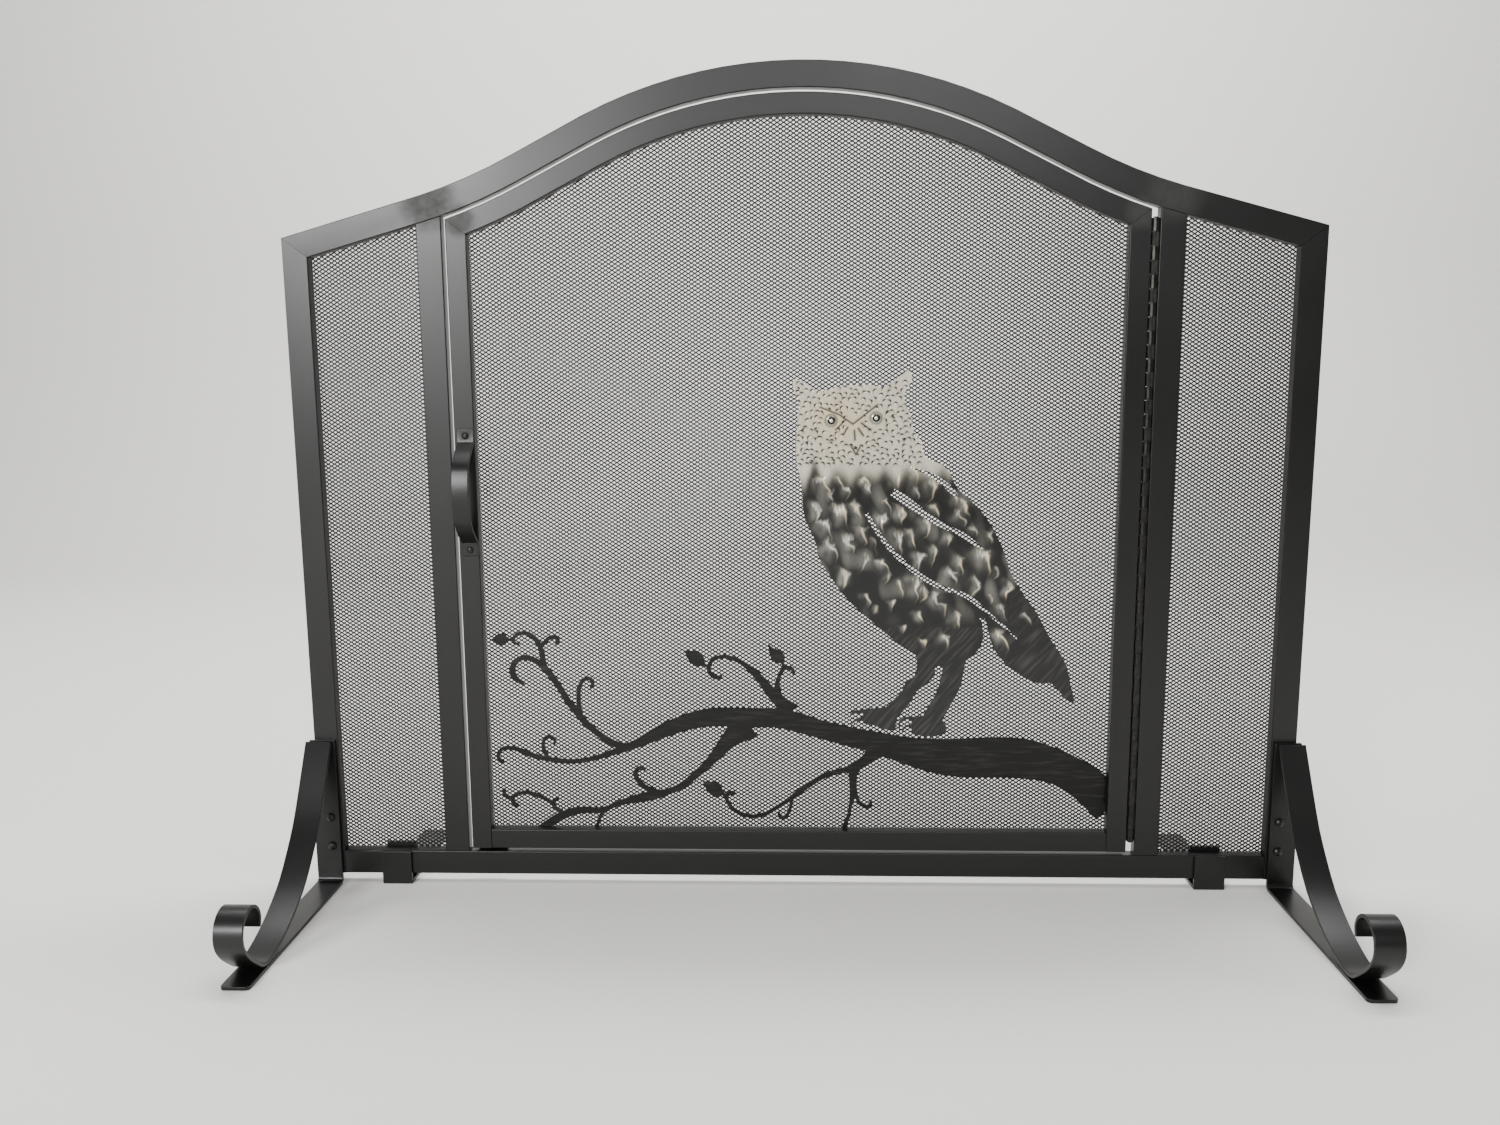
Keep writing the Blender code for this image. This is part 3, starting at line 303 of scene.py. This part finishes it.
def expanded_sheet(node, body, bands):
    """The net over one CAD slab, cut into bands from the bottom up."""
    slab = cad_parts[node]
    low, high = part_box(node)
    outline = BVHTree.FromPolygons([v.co for v in slab.data.vertices],
                                   [p.vertices for p in slab.data.polygons])
    tall = (high[2] - low[2]) / bands
    for band in range(bands):
        foot = low[2] + band * tall
        rows = int(tall / SHORT_WAY) + 2
        columns = int((high[0] - low[0]) / LONG_WAY) + 2
        cells = rows + columns
        bm = bmesh.new()
        bmesh.ops.create_grid(bm, x_segments=cells, y_segments=cells, size=cells / 2)
        bmesh.ops.rotate(bm, verts=bm.verts, matrix=Matrix.Rotation(radians(45), 3, "Z"))
        bmesh.ops.scale(bm, verts=bm.verts, vec=(LONG_WAY / 2 ** 0.5, SHORT_WAY / 2 ** 0.5, 1))
        bmesh.ops.rotate(bm, verts=bm.verts, matrix=Matrix.Rotation(radians(90), 3, "X"))
        middle_x = round((low[0] + high[0]) / 2 / LONG_WAY) * LONG_WAY
        middle_z = round((foot + tall / 2) / SHORT_WAY) * SHORT_WAY
        if cells % 2:
            middle_z += SHORT_WAY / 2
        bmesh.ops.translate(bm, verts=bm.verts, vec=(middle_x, low[1], middle_z))
        outside = []
        for face in bm.faces:
            centre = face.calc_center_median()
            if (not foot <= centre.z < foot + tall or not low[0] < centre.x < high[0]
                    or outline.find_nearest(centre)[3] > OFF_SLAB):
                outside.append(face)
        bmesh.ops.delete(bm, geom=outside, context="FACES")
        diamonds = list(bm.faces)
        bmesh.ops.inset_individual(bm, faces=diamonds, thickness=STRAND / 2,
                                   use_even_offset=True)
        bmesh.ops.delete(bm, geom=diamonds, context="FACES")
        net = bmesh.ops.extrude_face_region(bm, geom=list(bm.faces))
        moved = [v for v in net["geom"] if isinstance(v, bmesh.types.BMVert)]
        bmesh.ops.translate(bm, verts=moved, vec=(0, SHEET, 0))
        bmesh.ops.recalc_face_normals(bm, faces=bm.faces)
        new_piece(f"{node}_net_{band + 1}", bm, MESH_BLACK, body, node)
        print(node, "band", band + 1, "diamonds:", len(diamonds))


expanded_sheet("door_mesh", "door", 6)
expanded_sheet("left_side_mesh", "frame", 1)
expanded_sheet("right_side_mesh", "frame", 1)

# %% [markdown]
# ## Cut plates
# The owl and the branch are cut from sheet by plasma, which leaves a softly rounded front edge.
# To carry hammer marks the front face needs points all over it, so it is triangulated again with
# a fine even scatter of points inside its own outline. The back keeps the outline's points
# alone, and the cut edge joins the two.

# %% The outline of a plate, and points scattered inside it
ON_PLATE = 2e-5                     # a point this near to the front face is on it
ROW_STEP = 0.866                    # rows of even triangles, as a share of their side


def outline_and_rim(source, front_y):
    """A search tree of the front face, and its rim as points in x and z and the edges between."""
    front = [f for f in source.faces if f.calc_center_median().y < front_y + 1e-5]
    outline = BVHTree.FromPolygons([v.co for v in source.verts],
                                   [[v.index for v in f.verts] for f in front])
    rim = [e for e in source.edges
           if sum(f.calc_center_median().y < front_y + 1e-5 for f in e.link_faces) == 1]
    order = {}
    for edge in rim:
        for vert in edge.verts:
            order.setdefault(vert, len(order))
    points = [Vector((v.co.x, v.co.z)) for v in order]
    return outline, points, [(order[e.verts[0]], order[e.verts[1]]) for e in rim]


def scattered_points(outline, low, high, spacing_at):
    """Points in staggered rows over the box, kept where they lie on the front face."""
    points = []
    z = low[2]
    odd = False
    while z < high[2]:
        step = spacing_at(z)
        x = low[0] + (step / 2 if odd else 0)
        while x < high[0]:
            if outline.find_nearest(Vector((x, low[1], z)))[3] < ON_PLATE:
                points.append(Vector((x, z)))
            x += step
        z += step * ROW_STEP
        odd = not odd
    return points


# %% A finely divided plate
def fine_plate(node, spacing_at, edge_round):
    """A closed plate like the CAD node's; returns it with its front vertices."""
    source = merged_copy(node)
    bmesh.ops.triangulate(source, faces=source.faces)
    low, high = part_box(node)
    outline, rim_points, edges = outline_and_rim(source, low[1])
    source.free()
    points = rim_points + scattered_points(outline, low, high, spacing_at)
    bm = bmesh.new()
    bm.verts.layers.float_color.new("paint")
    rims = []
    for y, chosen in ((low[1], points), (high[1], rim_points)):
        net = delaunay_2d_cdt(chosen, edges, [], 0, 1e-7)
        verts = [bm.verts.new((p.x, y, p.y)) for p in net[0]]
        for corners in net[2]:
            centre = sum((net[0][k] for k in corners), Vector((0, 0))) / 3
            if outline.find_nearest(Vector((centre.x, low[1], centre.y)))[3] < ON_PLATE:
                bm.faces.new([verts[k] for k in corners])
        rims.append({old: verts[new] for new, made_of in enumerate(net[3])
                     for old in made_of})
    for a, b in edges:
        bm.faces.new((rims[0][a], rims[0][b], rims[1][b], rims[1][a]))
    loose = [v for v in bm.verts if not v.link_faces]
    bmesh.ops.delete(bm, geom=loose, context="VERTS")
    bmesh.ops.recalc_face_normals(bm, faces=bm.faces)
    face = [v for v in bm.verts if v.co.y < low[1] + 1e-6]
    for vert in face:
        if any(abs(e.other_vert(vert).co.y - vert.co.y) > 1e-4 for e in vert.link_edges):
            vert.co.y += edge_round
    print(node, "front points:", len(face), "of them on the rim:", len(rim_points))
    return bm, face


# %% [markdown]
# ## The owl
# The owl is bare ground steel down to its throat, tapped all over with a small dark punch, and
# blackened below. Each body feather is a scoop hammered into the black plate with a thin hooked
# ridge beside it; the bright pool in the scoop, a soft glow round it and the gold on the ridge
# are painted highlights, and a faint grey painted sheen lies between the feathers. The relief is
# real displacement. The three finishes are painted into one attribute: red for bare steel and the
# painted highlights and sheen, green for gold and blue for dark punch marks.

# %% Where the feathers lie
# x and z of the feather and its size, in millimetres, and how strong and how golden its painted
# highlight is
FEATHERS = [
    (22, 404, 10, 0.85, 0.9), (40, 405, 7, 0.6, 0.7), (62, 405, 8, 0.8, 0.8),
    (94, 409, 10, 0.75, 0.6), (108, 414, 10, 0.95, 1.0), (128, 402, 11, 0.8, 0.9),
    (29, 392, 8, 0.6, 0.1), (46, 396, 7, 0.5, 0.2), (67, 397, 7, 0.6, 0.4),
    (113, 395, 7, 0.35, 0.2), (150, 389, 8, 0.6, 0.4), (17, 377, 9, 0.75, 0.2),
    (40, 374, 10, 0.9, 0.5), (56, 377, 8, 0.8, 0.9), (83, 382, 8, 0.6, 0.8),
    (98, 374, 8, 0.7, 0.8), (79, 368, 9, 0.85, 0.3), (25, 361, 11, 0.95, 0.1),
    (130, 377, 8, 0.7, 0.9), (158, 381, 9, 0.8, 0.9), (153, 370, 9, 0.5, 0.2),
    (61, 355, 9, 0.75, 0.9), (48, 346, 11, 0.85, 0.3), (123, 362, 9, 0.8, 0.9),
    (96, 349, 10, 0.95, 0.4), (109, 351, 8, 0.8, 0.8), (144, 350, 8, 0.7, 0.5),
    (183, 351, 7, 0.6, 0.4), (168, 358, 6, 0.35, 0.5), (30, 340, 11, 0.95, 0.2),
    (131, 336, 8, 0.9, 0.8), (117, 328, 8, 0.85, 0.2), (155, 327, 9, 0.75, 0.9),
    (177, 330, 12, 1.0, 0.6), (65, 328, 9, 0.8, 0.1), (80, 325, 9, 0.9, 0.8),
    (148, 314, 8, 0.95, 0.4), (44, 312, 9, 0.9, 0.6), (86, 312, 7, 0.4, 0.3),
    (113, 304, 11, 0.9, 0.3), (97, 302, 6, 0.8, 0.7), (171, 305, 8, 0.9, 0.4),
    (203, 300, 8, 0.9, 0.8), (120, 296, 7, 0.45, 0.8), (66, 290, 5, 0.9, 0.4),
    (91, 285, 5, 0.9, 0.5), (133, 290, 9, 0.95, 0.1), (186, 290, 4, 0.6, 0.3),
    (196, 278, 8, 0.55, 0.1), (76, 279, 4, 0.4, 0.6), (117, 273, 6, 0.9, 0.6),
    (154, 272, 8, 0.9, 0.7), (221, 272, 5, 0.55, 0.2), (102, 262, 4, 0.9, 0.4),
    (142, 252, 8, 0.9, 0.2), (121, 248, 5, 0.8, 0.8), (197, 252, 9, 0.95, 0.9),
    (140, 280, 6, 0.4, 0.6), (72, 344, 6, 0.3, 0.2), (190, 316, 6, 0.35, 0.2),
]
print("feathers:", len(FEATHERS))

# %% Paint and relief for one point of the owl
THROAT = 418.0
EYES = ((32.3, 462.5), (74.8, 464.7))
FOOT_OF_BODY = 262
START_OF_TAIL = 205
TICKS = []
rng = random.Random(11)
while len(TICKS) < 285:
    tick = (rng.uniform(0, 118), rng.uniform(421, 500), rng.uniform(-1.1, 1.1),
            rng.uniform(1.8, 3.0))
    clear_of_eyes = all(hypot(tick[0] - ex, tick[1] - ez) > 10 for ex, ez in EYES)
    apart = all(hypot(tick[0] - t[0], tick[1] - t[1]) > 4.6 for t in TICKS)
    in_beak = abs(tick[0] - 55) < 9 and 440 < tick[1] < 470
    if clear_of_eyes and not in_beak and (apart or len(TICKS) > 268):
        TICKS.append(tick)
TICKS_NEAR = {}
for tick in TICKS:
    for i in (-1, 0, 1):
        for k in (-1, 0, 1):
            TICKS_NEAR.setdefault((tick[0] // 4 + i, tick[1] // 4 + k), []).append(tick)
FACE_LINES = [((22, 475), (40, 468)), ((40, 468), (53, 459)), ((53, 459), (62, 466)),
              ((62, 466), (76, 477)), ((46, 463), (37, 454)), ((61, 460), (70, 453)),
              ((54.5, 453), (55, 444)), ((51, 439), (56, 430)), ((56, 430), (60.5, 439)),
              ((48, 456), (44, 449)), ((58, 455), (63, 448))]


def beside_line(x, z, start, end):
    """Distance from a point to a line between two others."""
    sx, sz = end[0] - start[0], end[1] - start[1]
    t = max(0.0, min(1.0, ((x - start[0]) * sx + (z - start[1]) * sz) / (sx * sx + sz * sz)))
    return hypot(x - start[0] - t * sx, z - start[1] - t * sz)


def soft(distance, width):
    return exp(-(distance / width) ** 2)


def owl_point(x, z):
    """Bare steel with painted highlight, gold, ink and forward relief in millimetres at (x, z).
    """
    grain = noise.noise(Vector((x * 0.09, z * 0.09, 3.0)))
    edge = THROAT - 5 + 16 * noise.noise(Vector((x * 0.09, 0.0, 9.0)))
    head = 1 / (1 + exp(-(z - edge) / 3.6))
    steel = head * (0.92 + 0.20 * grain)
    # a faint grey painted sheen on the black between the feathers, fading out at the foot of the
    # body
    painted_sheen = max(0.0, 0.34 * noise.noise(Vector((x * 0.06, z * 0.035, 5.0))) - 0.03)
    steel = max(steel, painted_sheen * max(0.0, min(1.0, (z - FOOT_OF_BODY) / 30)))
    ink, relief = 0.0, 0.0
    warm = soft(hypot(x - 40, (z - 462) * 1.3), 34)
    gold = head * (0.12 + 0.28 * warm)
    sway = 5.0 * noise.noise(Vector((x * 0.10, z * 0.10, 21.0)))
    lift = 6.0 * noise.noise(Vector((x * 0.12, z * 0.08, 31.0)))
    for fx, fz, size, highlight_strength, golden in FEATHERS:
        dx, dz = x + sway - fx, z + lift - fz
        if abs(dx) > 2.2 * size or abs(dz) > 2.4 * size:
            continue
        turn = 0.35 + 0.4 * sin(fx * 1.7 + fz)
        across, down = dx * cos(turn) + dz * sin(turn), -dx * sin(turn) + dz * cos(turn)
        bend = 0.30 * size - 0.30 * (down + 0.05 * size) ** 2 / size
        beyond = across - bend
        wide = size * (0.50 if beyond < 0 else 0.12 + 0.25 * (down > 0))
        # the pool and the glow are painted highlights in the scoop, and the hook's steel and gold
        # a painted highlight on its ridge; pool and hook also shape the relief
        pool_hollow_and_highlight = soft(beyond / wide, 1.0) * soft((down - 0.1 * size) / size, 0.62)
        pool_hollow_and_highlight *= 0.72 + 0.75 * noise.noise(Vector((x * 0.7, z * 0.16, 2.0)))
        hook_ridge_and_highlight = soft(beyond, 0.95) * soft(down + 0.2 * size, 0.72 * size)
        painted_glow = soft(hypot(beyond + 0.40 * size, 0.8 * down) / (0.62 * size), 1.0)
        painted_glow *= 0.75 + 0.8 * noise.noise(Vector((x * 0.13, z * 0.09, 12.0)))
        steel = max(steel, 1.25 * highlight_strength * pool_hollow_and_highlight ** 1.5, highlight_strength * hook_ridge_and_highlight, 0.30 * highlight_strength * painted_glow)
        gold = max(gold, 0.65 * golden * highlight_strength * hook_ridge_and_highlight)
        relief += -0.6 * pool_hollow_and_highlight + 0.5 * hook_ridge_and_highlight
    if z > THROAT - 2:
        for tx, tz, turn, half in TICKS_NEAR.get((x // 4, z // 4), ()):
            dx, dz = x - tx, z - tz
            along, off = dx * cos(turn) + dz * sin(turn), -dx * sin(turn) + dz * cos(turn)
            mark = soft(off + 0.22 * along * along, 1.0) * soft(along / half, 1.3) ** 2
            ink = max(ink, min(1.0, 1.35 * mark))
        for start, end in FACE_LINES:
            ink = max(ink, 0.95 * soft(beside_line(x, z, start, end), 1.2))
        for ex, ez in EYES:
            ink = max(ink, 0.7 * soft(abs(hypot(x - ex, z - ez) - 5.6), 1.1))
        relief -= 0.25 * ink
    if z < FOOT_OF_BODY or x > START_OF_TAIL:
        steel = max(steel, 0.005 + 0.05 * noise.noise(Vector((x * 0.3 - z * 0.25, (x + z) * 0.03,
                                                            1.0))))
    return steel, min(gold, 1.0), ink, relief


# %% [markdown]
# The owl's finish mixes blackened plate, ground steel and gold by the painted attribute, where
# the steel's share also carries the painted highlights and sheen. A lacquer over all of it is
# what makes the hammered black sparkle, so the shader has a coat.

# %% Torched owl steel
def owl_steel():
    material, tree, shader = start_material("ground and heat-tinted steel, lacquered")
    paint = add(tree, "ShaderNodeAttribute", attribute_name="paint")
    parts = add(tree, "ShaderNodeSeparateColor", {"Color": paint.outputs["Color"]})
    place = add(tree, "ShaderNodeTexCoord").outputs["Object"]
    stretch = add(tree, "ShaderNodeMapping", {"Vector": place, "Scale": (900.0, 300.0, 260.0)})
    grind = add(tree, "ShaderNodeTexNoise", {"Vector": stretch.outputs["Vector"], "Scale": 1.0,
                                             "Detail": 4.0})
    bare = add(tree, "ShaderNodeMix", {"Factor": grind.outputs["Fac"]}, data_type="RGBA")
    bare.inputs[6].default_value = linear("#b2b1a4")
    bare.inputs[7].default_value = linear("#f6f3e6")
    # red mixes in bright steel: real ground steel on the head, painted highlights and sheen on
    # the body
    tint = add(tree, "ShaderNodeMix", {"Factor": parts.outputs["Red"]}, data_type="RGBA")
    tint.inputs[6].default_value = linear("#050505")
    tree.links.new(bare.outputs[2], tint.inputs[7])
    heat = add(tree, "ShaderNodeMix", {"Factor": parts.outputs["Green"]}, data_type="RGBA")
    tree.links.new(tint.outputs[2], heat.inputs[6])
    heat.inputs[7].default_value = linear("#e6c47c")
    punched = add(tree, "ShaderNodeMix", {"Factor": parts.outputs["Blue"]}, data_type="RGBA")
    tree.links.new(heat.outputs[2], punched.inputs[6])
    punched.inputs[7].default_value = linear("#0d0c0a")
    metal = add(tree, "ShaderNodeMapRange", {"Value": parts.outputs["Red"], "To Min": 0.1,
                                             "To Max": 0.5})
    bump = add(tree, "ShaderNodeBump", {"Height": grind.outputs["Fac"], "Strength": 0.15,
                                        "Distance": 0.0002})
    tree.links.new(punched.outputs[2], shader.inputs["Base Color"])
    tree.links.new(metal.outputs["Result"], shader.inputs["Metallic"])
    tree.links.new(bump.outputs["Normal"], shader.inputs["Normal"])
    shader.inputs["Roughness"].default_value = 0.30
    shader.inputs["Coat Weight"].default_value = 0.2
    shader.inputs["Specular IOR Level"].default_value = 0.4
    shader.inputs["Coat Roughness"].default_value = 0.12
    return material


OWL_STEEL = owl_steel()

# %% The owl plate and its eyes
bm, face = fine_plate("owl_plate", lambda z: 0.6 * MM if z > 0.415 else 0.95 * MM, 0.35 * MM)
paint = bm.verts.layers.float_color["paint"]
for vert in bm.verts:
    vert[paint] = (0.05, 0.0, 0.0, 1.0)
for vert in face:
    # red takes the bare steel together with the painted highlights and sheen
    steel, gold, ink, relief = owl_point(vert.co.x / MM, vert.co.z / MM)
    vert[paint] = (steel, gold, ink, 1.0)
    vert.co.y -= relief * MM
new_piece("owl_plate_hammered", bm, OWL_STEEL, "door", "owl_plate")


BOSS_Y = 0.0535                     # about where the faces of the bosses lie


def eye_steel():
    material, tree, shader = start_material("stamped eye boss, darkened groove")
    place = add(tree, "ShaderNodeTexCoord").outputs["Object"]
    tint = None
    for x, z in EYES:
        away = add(tree, "ShaderNodeVectorMath", {0: place, 1: (x * MM, BOSS_Y, z * MM)},
                   operation="DISTANCE")
        tint = away.outputs["Value"] if tint is None else add(
            tree, "ShaderNodeMath", {0: tint, 1: away.outputs["Value"]},
            operation="MINIMUM").outputs[0]
    far = add(tree, "ShaderNodeMapRange", {"Value": tint, "From Max": 0.006})
    rings = add(tree, "ShaderNodeValToRGB", {"Fac": far.outputs["Result"]})
    bands = rings.color_ramp.elements
    bands[0].position, bands[0].color = 0.0, linear("#f4f1e4")
    bands[1].position, bands[1].color = 1.0, linear("#8d8b80")
    for position, colour in ((0.24, "#e9e5d2"), (0.30, "#0e0d0b"), (0.58, "#15130f"),
                             (0.66, "#a9a697")):
        bands.new(position).color = linear(colour)
    tree.links.new(rings.outputs["Color"], shader.inputs["Base Color"])
    shader.inputs["Metallic"].default_value = 0.7
    shader.inputs["Roughness"].default_value = 0.25
    return material


EYE_STEEL = eye_steel()
for side in ("left", "right"):
    new_piece(f"owl_eye_{side}_boss", merged_copy(f"owl_eye_{side}"), EYE_STEEL, "door",
              f"owl_eye_{side}")

# %% [markdown]
# ## The branch
# The branch is the same sheet, blackened all over, with bark drawn on by a grinding disc: long
# fine strokes that run with the limb and show as dark grey streaks.

# %% Branch
def bark_steel():
    material, tree, shader = start_material("blackened plate, ground bark")
    place = add(tree, "ShaderNodeTexCoord").outputs["Object"]
    stretch = add(tree, "ShaderNodeMapping", {"Vector": place, "Scale": (38.0, 60.0, 420.0)})
    bark = add(tree, "ShaderNodeTexNoise", {"Vector": stretch.outputs["Vector"], "Scale": 1.0,
                                            "Detail": 5.0, "Roughness": 0.6})
    line = add(tree, "ShaderNodeMapRange", {"Value": bark.outputs["Fac"], "From Min": 0.50,
                                            "From Max": 0.72})
    colour = add(tree, "ShaderNodeMix", {"Factor": line.outputs["Result"]}, data_type="RGBA")
    colour.inputs[6].default_value = linear("#050504")
    colour.inputs[7].default_value = linear("#24231f")
    bump = add(tree, "ShaderNodeBump", {"Height": bark.outputs["Fac"], "Strength": 0.4,
                                        "Distance": 0.0004})
    tree.links.new(colour.outputs[2], shader.inputs["Base Color"])
    tree.links.new(bump.outputs["Normal"], shader.inputs["Normal"])
    shader.inputs["Roughness"].default_value = 0.45
    shader.inputs["Specular IOR Level"].default_value = 0.3
    shader.inputs["Metallic"].default_value = 0.1
    return material


bm, face = fine_plate("branch_plate", lambda z: 2.0 * MM, 0.3 * MM)
for vert in face:
    spot = Vector((vert.co.x * 60, 0.0, vert.co.z * 420))
    vert.co.y -= 0.12 * MM * noise.noise(spot)
new_piece("branch_plate_ground", bm, bark_steel(), "door", "branch_plate")

# %% [markdown]
# ## Floor, light and camera
# A pale seamless sweep lies under the screen and rises behind it, washed by a lamp of its own, so
# the net reads dark on light. A soft box in front on the left and a weaker one aimed at the crown
# give the coat its sheen, which fades downwards. The rest is a box overhead, a weaker one each
# side, and a sky kept dim so that the tubes mirror little of it.

# %% Studio
FLOOR_BACK = 1.9
SWEEP_RADIUS = 0.9
UNDER_FEET = 0.0004                 # the paper lies this far under the soles
floor_bm = bmesh.new()
profile = [(-6.0, 0.0), (FLOOR_BACK, 0.0)]
profile += [(FLOOR_BACK + SWEEP_RADIUS * sin(pi / 2 * k / 12),
             SWEEP_RADIUS - SWEEP_RADIUS * cos(pi / 2 * k / 12)) for k in range(1, 13)]
profile += [(2.8, 5.0)]
line = [floor_bm.verts.new((-6, y, z - UNDER_FEET)) for y, z in profile]
edges = [floor_bm.edges.new(pair) for pair in zip(line, line[1:])]
swept = bmesh.ops.extrude_edge_only(floor_bm, edges=edges)
far_side = [v for v in swept["geom"] if isinstance(v, bmesh.types.BMVert)]
bmesh.ops.translate(floor_bm, verts=far_side, vec=(12, 0, 0))
bmesh.ops.recalc_face_normals(floor_bm, faces=floor_bm.faces)
floor_mesh = bpy.data.meshes.new("studio_sweep")
floor_bm.to_mesh(floor_mesh)
floor_bm.free()
floor_mesh.shade_smooth()
paper, tree, shader = start_material("pale paper sweep")
shader.inputs["Base Color"].default_value = linear("#e0dfdb")
shader.inputs["Roughness"].default_value = 0.9
floor_mesh.materials.append(paper)
sweep = bpy.data.objects.new("studio_sweep", floor_mesh)
bpy.context.scene.collection.objects.link(sweep)

world = bpy.data.worlds.new("even sky")
world.use_nodes = True
world.node_tree.nodes["Background"].inputs["Color"].default_value = linear("#f7f6f3")
world.node_tree.nodes["Background"].inputs["Strength"].default_value = 0.12
bpy.context.scene.world = world


def soft_box(name, place, target, width, height, watts):
    """A rectangular lamp of the given size in metres, turned towards a target."""
    lamp = bpy.data.lights.new(name, "AREA")
    lamp.shape = "RECTANGLE"
    lamp.size, lamp.size_y, lamp.energy = width, height, watts
    box = bpy.data.objects.new(name, lamp)
    bpy.context.scene.collection.objects.link(box)
    box.location = place
    box.rotation_euler = (Vector(target) - Vector(place)).to_track_quat("-Z", "Y").to_euler()


soft_box("high_front", (-1.5, -3.2, 1.35), (-0.3, 0, 0.6), 0.9, 0.55, 125)
soft_box("crown_front", (0.55, -3.2, 1.75), (0.1, 0, 0.75), 1.0, 0.4, 30)
soft_box("overhead", (0.1, 0.1, 2.9), (0, 0.4, 0.0), 2.6, 1.4, 62)
soft_box("left_side", (-2.4, -0.9, 1.1), (0, 0, 0.4), 0.6, 1.6, 14)
soft_box("right_side", (2.4, -0.9, 1.1), (0, 0, 0.4), 0.6, 1.6, 10)
soft_box("sweep_wash", (0, 0.8, 2.9), (0, 2.3, 0.7), 3.6, 0.8, 132)

# %% Camera
CAMERA_PLACE = (-0.001, -1.12075, 0.5135)
YAW, DOWN, ROLL = 2.2, 9.05, -0.48  # degrees
lens = bpy.data.cameras.new("camera")
lens.lens = 29.46
lens.sensor_width = 36.0
camera = bpy.data.objects.new("camera", lens)
bpy.context.scene.collection.objects.link(camera)
turn = (Matrix.Rotation(radians(YAW), 4, "Z") @ Matrix.Rotation(radians(90 - DOWN), 4, "X")
        @ Matrix.Rotation(radians(ROLL), 4, "Z"))
camera.matrix_world = Matrix.Translation(CAMERA_PLACE) @ turn
bpy.context.scene.camera = camera
